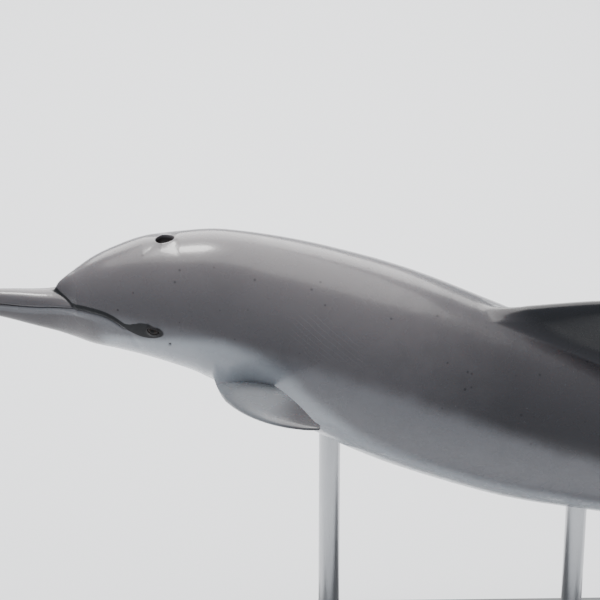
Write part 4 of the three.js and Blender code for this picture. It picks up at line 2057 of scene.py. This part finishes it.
@dataclass
class Stand:
    """The plain display stand: base plate, two rods with flanges, and screws.

    Attributes:
        rods: the bores in the belly.
        length, width, thickness, corner, bevel: size, corners and edges of the base plate.
        gap: play between pieces that touch.
        flange_..., collar_...: size of a flange's disc and of its collar, from the plate up.
        fillet, edge, ease: radius between disc and collar, and size of a flange's eased edges.
        screw_...: size, circle, number, socket wall, socket depth and bevel of the screws.
        rod_bevel: bevel of a rod's ends.
    """

    rods: Sequence[RodSocket]
    length: float = 1.080
    width: float = 0.500
    thickness: float = 0.024
    corner: float = 0.060
    bevel: float = 0.003
    gap: float = 0.0003
    flange_radius: float = 0.058
    flange_thickness: float = 0.012
    collar_radius: float = 0.034
    collar_height: float = 0.042
    screw_radius: float = 0.006
    screw_height: float = 0.004
    screw_circle: float = 0.046
    screw_count: int = 4
    screw_wall: float = 0.0026
    screw_socket: float = 0.0022
    screw_bevel: float = 0.0006
    rod_bevel: float = 0.0015
    fillet: float = 0.004
    edge: float = 0.002
    ease: float = 0.0006

    def base(self) -> bpy.types.Object:
        """Return the base plate with round corners and eased edges.

        Returns:
            The plate.
        """
        bm = bmesh.new()
        bmesh.ops.create_cube(bm, size=1.0)
        bmesh.ops.scale(bm, vec=(self.length, self.width, self.thickness), verts=bm.verts)
        bmesh.ops.translate(bm, vec=(0.0, 0.0, self.thickness / 2), verts=bm.verts)
        bevel(bm, [edge for edge in bm.edges if not level_edge(edge)], self.corner, 14)
        rim = [edge for edge in bm.edges if level_edge(edge)
               and abs(edge.calc_face_angle(0.0) - math.pi / 2) < 0.2]
        bevel(bm, rim, self.bevel, 4)
        plate = mesh_object("base_plate", bm, smooth=False)
        plate.data.materials.append(PowderCoat().build())
        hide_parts("stand_base")
        return plate

    def rod(self, socket: RodSocket, name: str, steel: bpy.types.Material) -> bpy.types.Object:
        """Return one rod, from the base plate to the roof of its bore.

        Args:
            socket: the bore in the belly that takes it.
            name: which rod it is.
            steel: material of the piece.

        Returns:
            The rod.
        """
        low = self.thickness + self.gap
        bm = cylinder(72, socket.radius, socket.top - low)
        middle = (socket.x, 0.0, (socket.top + low) / 2)
        bmesh.ops.translate(bm, vec=middle, verts=bm.verts)
        bevel(bm, [edge for edge in bm.edges if level_edge(edge)], self.rod_bevel, 3)
        rod = mesh_object(f"rod_{name}", bm)
        rod.data.materials.append(steel)
        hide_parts(f"stand_rod_{name}")
        return rod

    def flange(self, socket: RodSocket, name: str, steel: bpy.types.Material) -> bpy.types.Object:
        """Return one turned flange with its collar, spun from a profile.

        Args:
            socket: the bore in the belly above it.
            name: which rod it holds.
            steel: material of the piece.

        Returns:
            The flange.
        """
        low = self.thickness + self.gap
        step = low + self.flange_thickness
        high = low + self.collar_height
        bore, disc, collar = socket.radius + self.gap, self.flange_radius, self.collar_radius
        edge, ease = self.edge, self.ease
        profile = [(bore, low), (disc - edge / 2, low), (disc, low + edge / 2),
                   (disc, step - edge), (disc - ease, step - ease), (disc - edge, step)]
        for eighth in range(5):
            turn = eighth * math.pi / 8
            profile.append((collar + self.fillet * (1 - math.sin(turn)),
                            step + self.fillet * (1 - math.cos(turn))))
        profile += [(collar, high - edge), (collar - ease, high - ease), (collar - edge, high),
                    (bore + ease, high), (bore, high - ease)]
        bm = bmesh.new()
        verts = [bm.verts.new((socket.x + radius, 0.0, z)) for radius, z in profile]
        edges = [bm.edges.new((verts[i], verts[(i + 1) % len(verts)])) for i in range(len(verts))]
        bmesh.ops.spin(bm, geom=verts + edges, cent=(socket.x, 0.0, 0.0), axis=(0.0, 0.0, 1.0),
                       dvec=(0.0, 0.0, 0.0), angle=2 * math.pi, steps=72, use_merge=True,
                       use_duplicate=False)
        bmesh.ops.remove_doubles(bm, verts=bm.verts, dist=1e-6)
        flange = mesh_object(f"flange_{name}", bm)
        flange.data.materials.append(steel)
        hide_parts(f"stand_flange_{name}")
        return flange

    def screw(self, socket: RodSocket, name: str, index: int, steel: bpy.types.Material
              ) -> bpy.types.Object:
        """Return the head of one socket screw.

        Args:
            socket: the bore in the belly above its flange.
            name: which rod it belongs to.
            index: number of the screw.
            steel: material of the piece.

        Returns:
            The screw.
        """
        low = self.thickness + self.gap + self.flange_thickness + self.gap
        turn = (index + 0.5) * 2 * math.pi / self.screw_count
        bm = cylinder(36, self.screw_radius * 0.95, self.screw_height)
        top = max(bm.faces, key=lambda face: face.calc_center_median().z)
        bmesh.ops.inset_region(bm, faces=[top], thickness=self.screw_wall)
        bmesh.ops.translate(bm, vec=(0.0, 0.0, -self.screw_socket), verts=top.verts)
        rim = [edge for edge in bm.edges if edge.calc_face_angle(0.0) > 1.0
               and edge.verts[0].co.z > 0.001 and edge.verts[0].co.xy.length > 0.005]
        bevel(bm, rim, self.screw_bevel, 3)
        place = (socket.x + self.screw_circle * math.cos(turn), self.screw_circle * math.sin(turn),
                 low + self.screw_height / 2)
        bmesh.ops.translate(bm, vec=place, verts=bm.verts)
        screw = mesh_object(f"screw_{name}_{index + 1}", bm, smooth=False)
        screw.data.materials.append(steel)
        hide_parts(f"stand_screw_{name}_{index + 1}")
        return screw

    def build(self) -> None:
        """Make every piece of the stand."""
        self.base()
        drawn = SatinSteel().build()
        turned = SatinSteel(grain=(1.0, 1.0, 1.0)).build()
        for socket, name in zip(self.rods, ("front", "rear")):
            self.rod(socket, name, drawn)
            self.flange(socket, name, turned)
            for index in range(self.screw_count):
                self.screw(socket, name, index, turned)


# ---- studio


@dataclass
class Studio:
    """Floor, pale surroundings, soft lights and camera.

    Attributes:
        azimuth, elevation, distance: where the camera stands, in degrees and metres.
        pixels, pixels_per_metre, sensor: size and scale of the render, width of the sensor.
        aim, aim_pixel: point behind and below the tip of the beak, and its place in the render.
        lamp_...: tint of the lamps, and the point that they face.
        sky_...: tint and brightness of the surroundings.
        LAMPS: name, place, size and watts of each lamp.
    """

    shape: BodyShape
    azimuth: float = -1.2
    elevation: float = 31.8
    distance: float = 7.0
    pixels: float = 600.0
    pixels_per_metre: float = 457.0
    sensor: float = 36.0
    aim: Tuple[float, float] = (0.600, -0.030)
    aim_pixel: Tuple[float, float] = (264.7, 311.3)
    floor_half: float = 30.0
    lamp_colour: Colour = (1.0, 0.98, 0.96)
    lamp_aim: Row = (-0.2, 0.0, 0.85)
    sky_colour: Colour = (0.80, 0.86, 0.95)
    sky_strength: float = 0.76

    LAMPS = (
        ("above", (-0.3, 1.2, 4.5), (7.0, 4.2), 290.0),
        ("back", (-0.6, 4.6, 3.0), (7.5, 3.4), 340.0),
        ("sun", (-0.9, 1.0, 4.0), (1.0, 0.8), 90.0),
    )

    def camera(self) -> None:
        """Make the camera, so that the aim point of the body falls on its pixel."""
        a, e = math.radians(self.azimuth), math.radians(self.elevation)
        back = Vector((math.sin(a) * math.cos(e), -math.cos(a) * math.cos(e), math.sin(e)))
        right = Vector((math.cos(a), math.sin(a), 0.0))
        up = back.cross(right)
        x, z, _ = self.shape.axis(0.0)
        target = Vector((x + self.aim[0], 0.0, z + self.aim[1]))
        middle = self.pixels / 2
        target += right * ((middle - self.aim_pixel[0]) / self.pixels_per_metre)
        target -= up * ((middle - self.aim_pixel[1]) / self.pixels_per_metre)
        data = bpy.data.cameras.new("camera")
        data.sensor_width = self.sensor
        data.lens = self.sensor * self.pixels_per_metre * self.distance / self.pixels
        data.clip_end = 100.0
        camera = bpy.data.objects.new("camera", data)
        camera.location = target + back * self.distance
        camera.rotation_euler = back.to_track_quat("Z", "Y").to_euler()
        bpy.context.scene.collection.objects.link(camera)
        bpy.context.scene.camera = camera

    def floor(self) -> None:
        """Make the wide pale floor."""
        bm = bmesh.new()
        bmesh.ops.create_grid(bm, x_segments=8, y_segments=8, size=self.floor_half)
        mesh = bpy.data.meshes.new("floor")
        bm.to_mesh(mesh)
        bm.free()
        floor = bpy.data.objects.new("floor", mesh)
        bpy.context.scene.collection.objects.link(floor)
        floor.data.materials.append(StudioPaper().build())

    def lamp(self, name: str, place: Row, size: Tuple[float, float], power: float) -> None:
        """Make one soft oval lamp that faces the animal.

        Args:
            name: name of the lamp.
            place: where the lamp hangs.
            size: length and width of the lamp.
            power: power in watts.
        """
        data = bpy.data.lights.new(name, "AREA")
        data.shape = "ELLIPSE"
        data.size, data.size_y = size
        data.energy = power
        data.color = self.lamp_colour
        lamp = bpy.data.objects.new(name, data)
        lamp.location = place
        toward = Vector(self.lamp_aim) - Vector(place)
        lamp.rotation_euler = toward.to_track_quat("-Z", "Y").to_euler()
        bpy.context.scene.collection.objects.link(lamp)

    def build(self) -> None:
        """Make the whole studio."""
        self.camera()
        self.floor()
        world = bpy.data.worlds.new("surroundings")
        world.use_nodes = True
        sky = world.node_tree.nodes["Background"]
        sky.inputs["Color"].default_value = (*self.sky_colour, 1.0)
        sky.inputs["Strength"].default_value = self.sky_strength
        bpy.context.scene.world = world
        for lamp in self.LAMPS:
            self.lamp(*lamp)


def main() -> None:
    """Build the animal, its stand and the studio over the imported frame."""
    logging.basicConfig(level=logging.INFO, format="%(message)s")
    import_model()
    shape = BodyShape()
    rods = [RodSocket(shape, station) for station in ROD_STATIONS]
    Studio(shape).build()
    Skin(shape, rods).build()
    for side in Side:
        Eye(shape, side).ball()
    Stand(rods).build()
    bpy.context.view_layer.update()


if __name__ == "__main__":
    main()
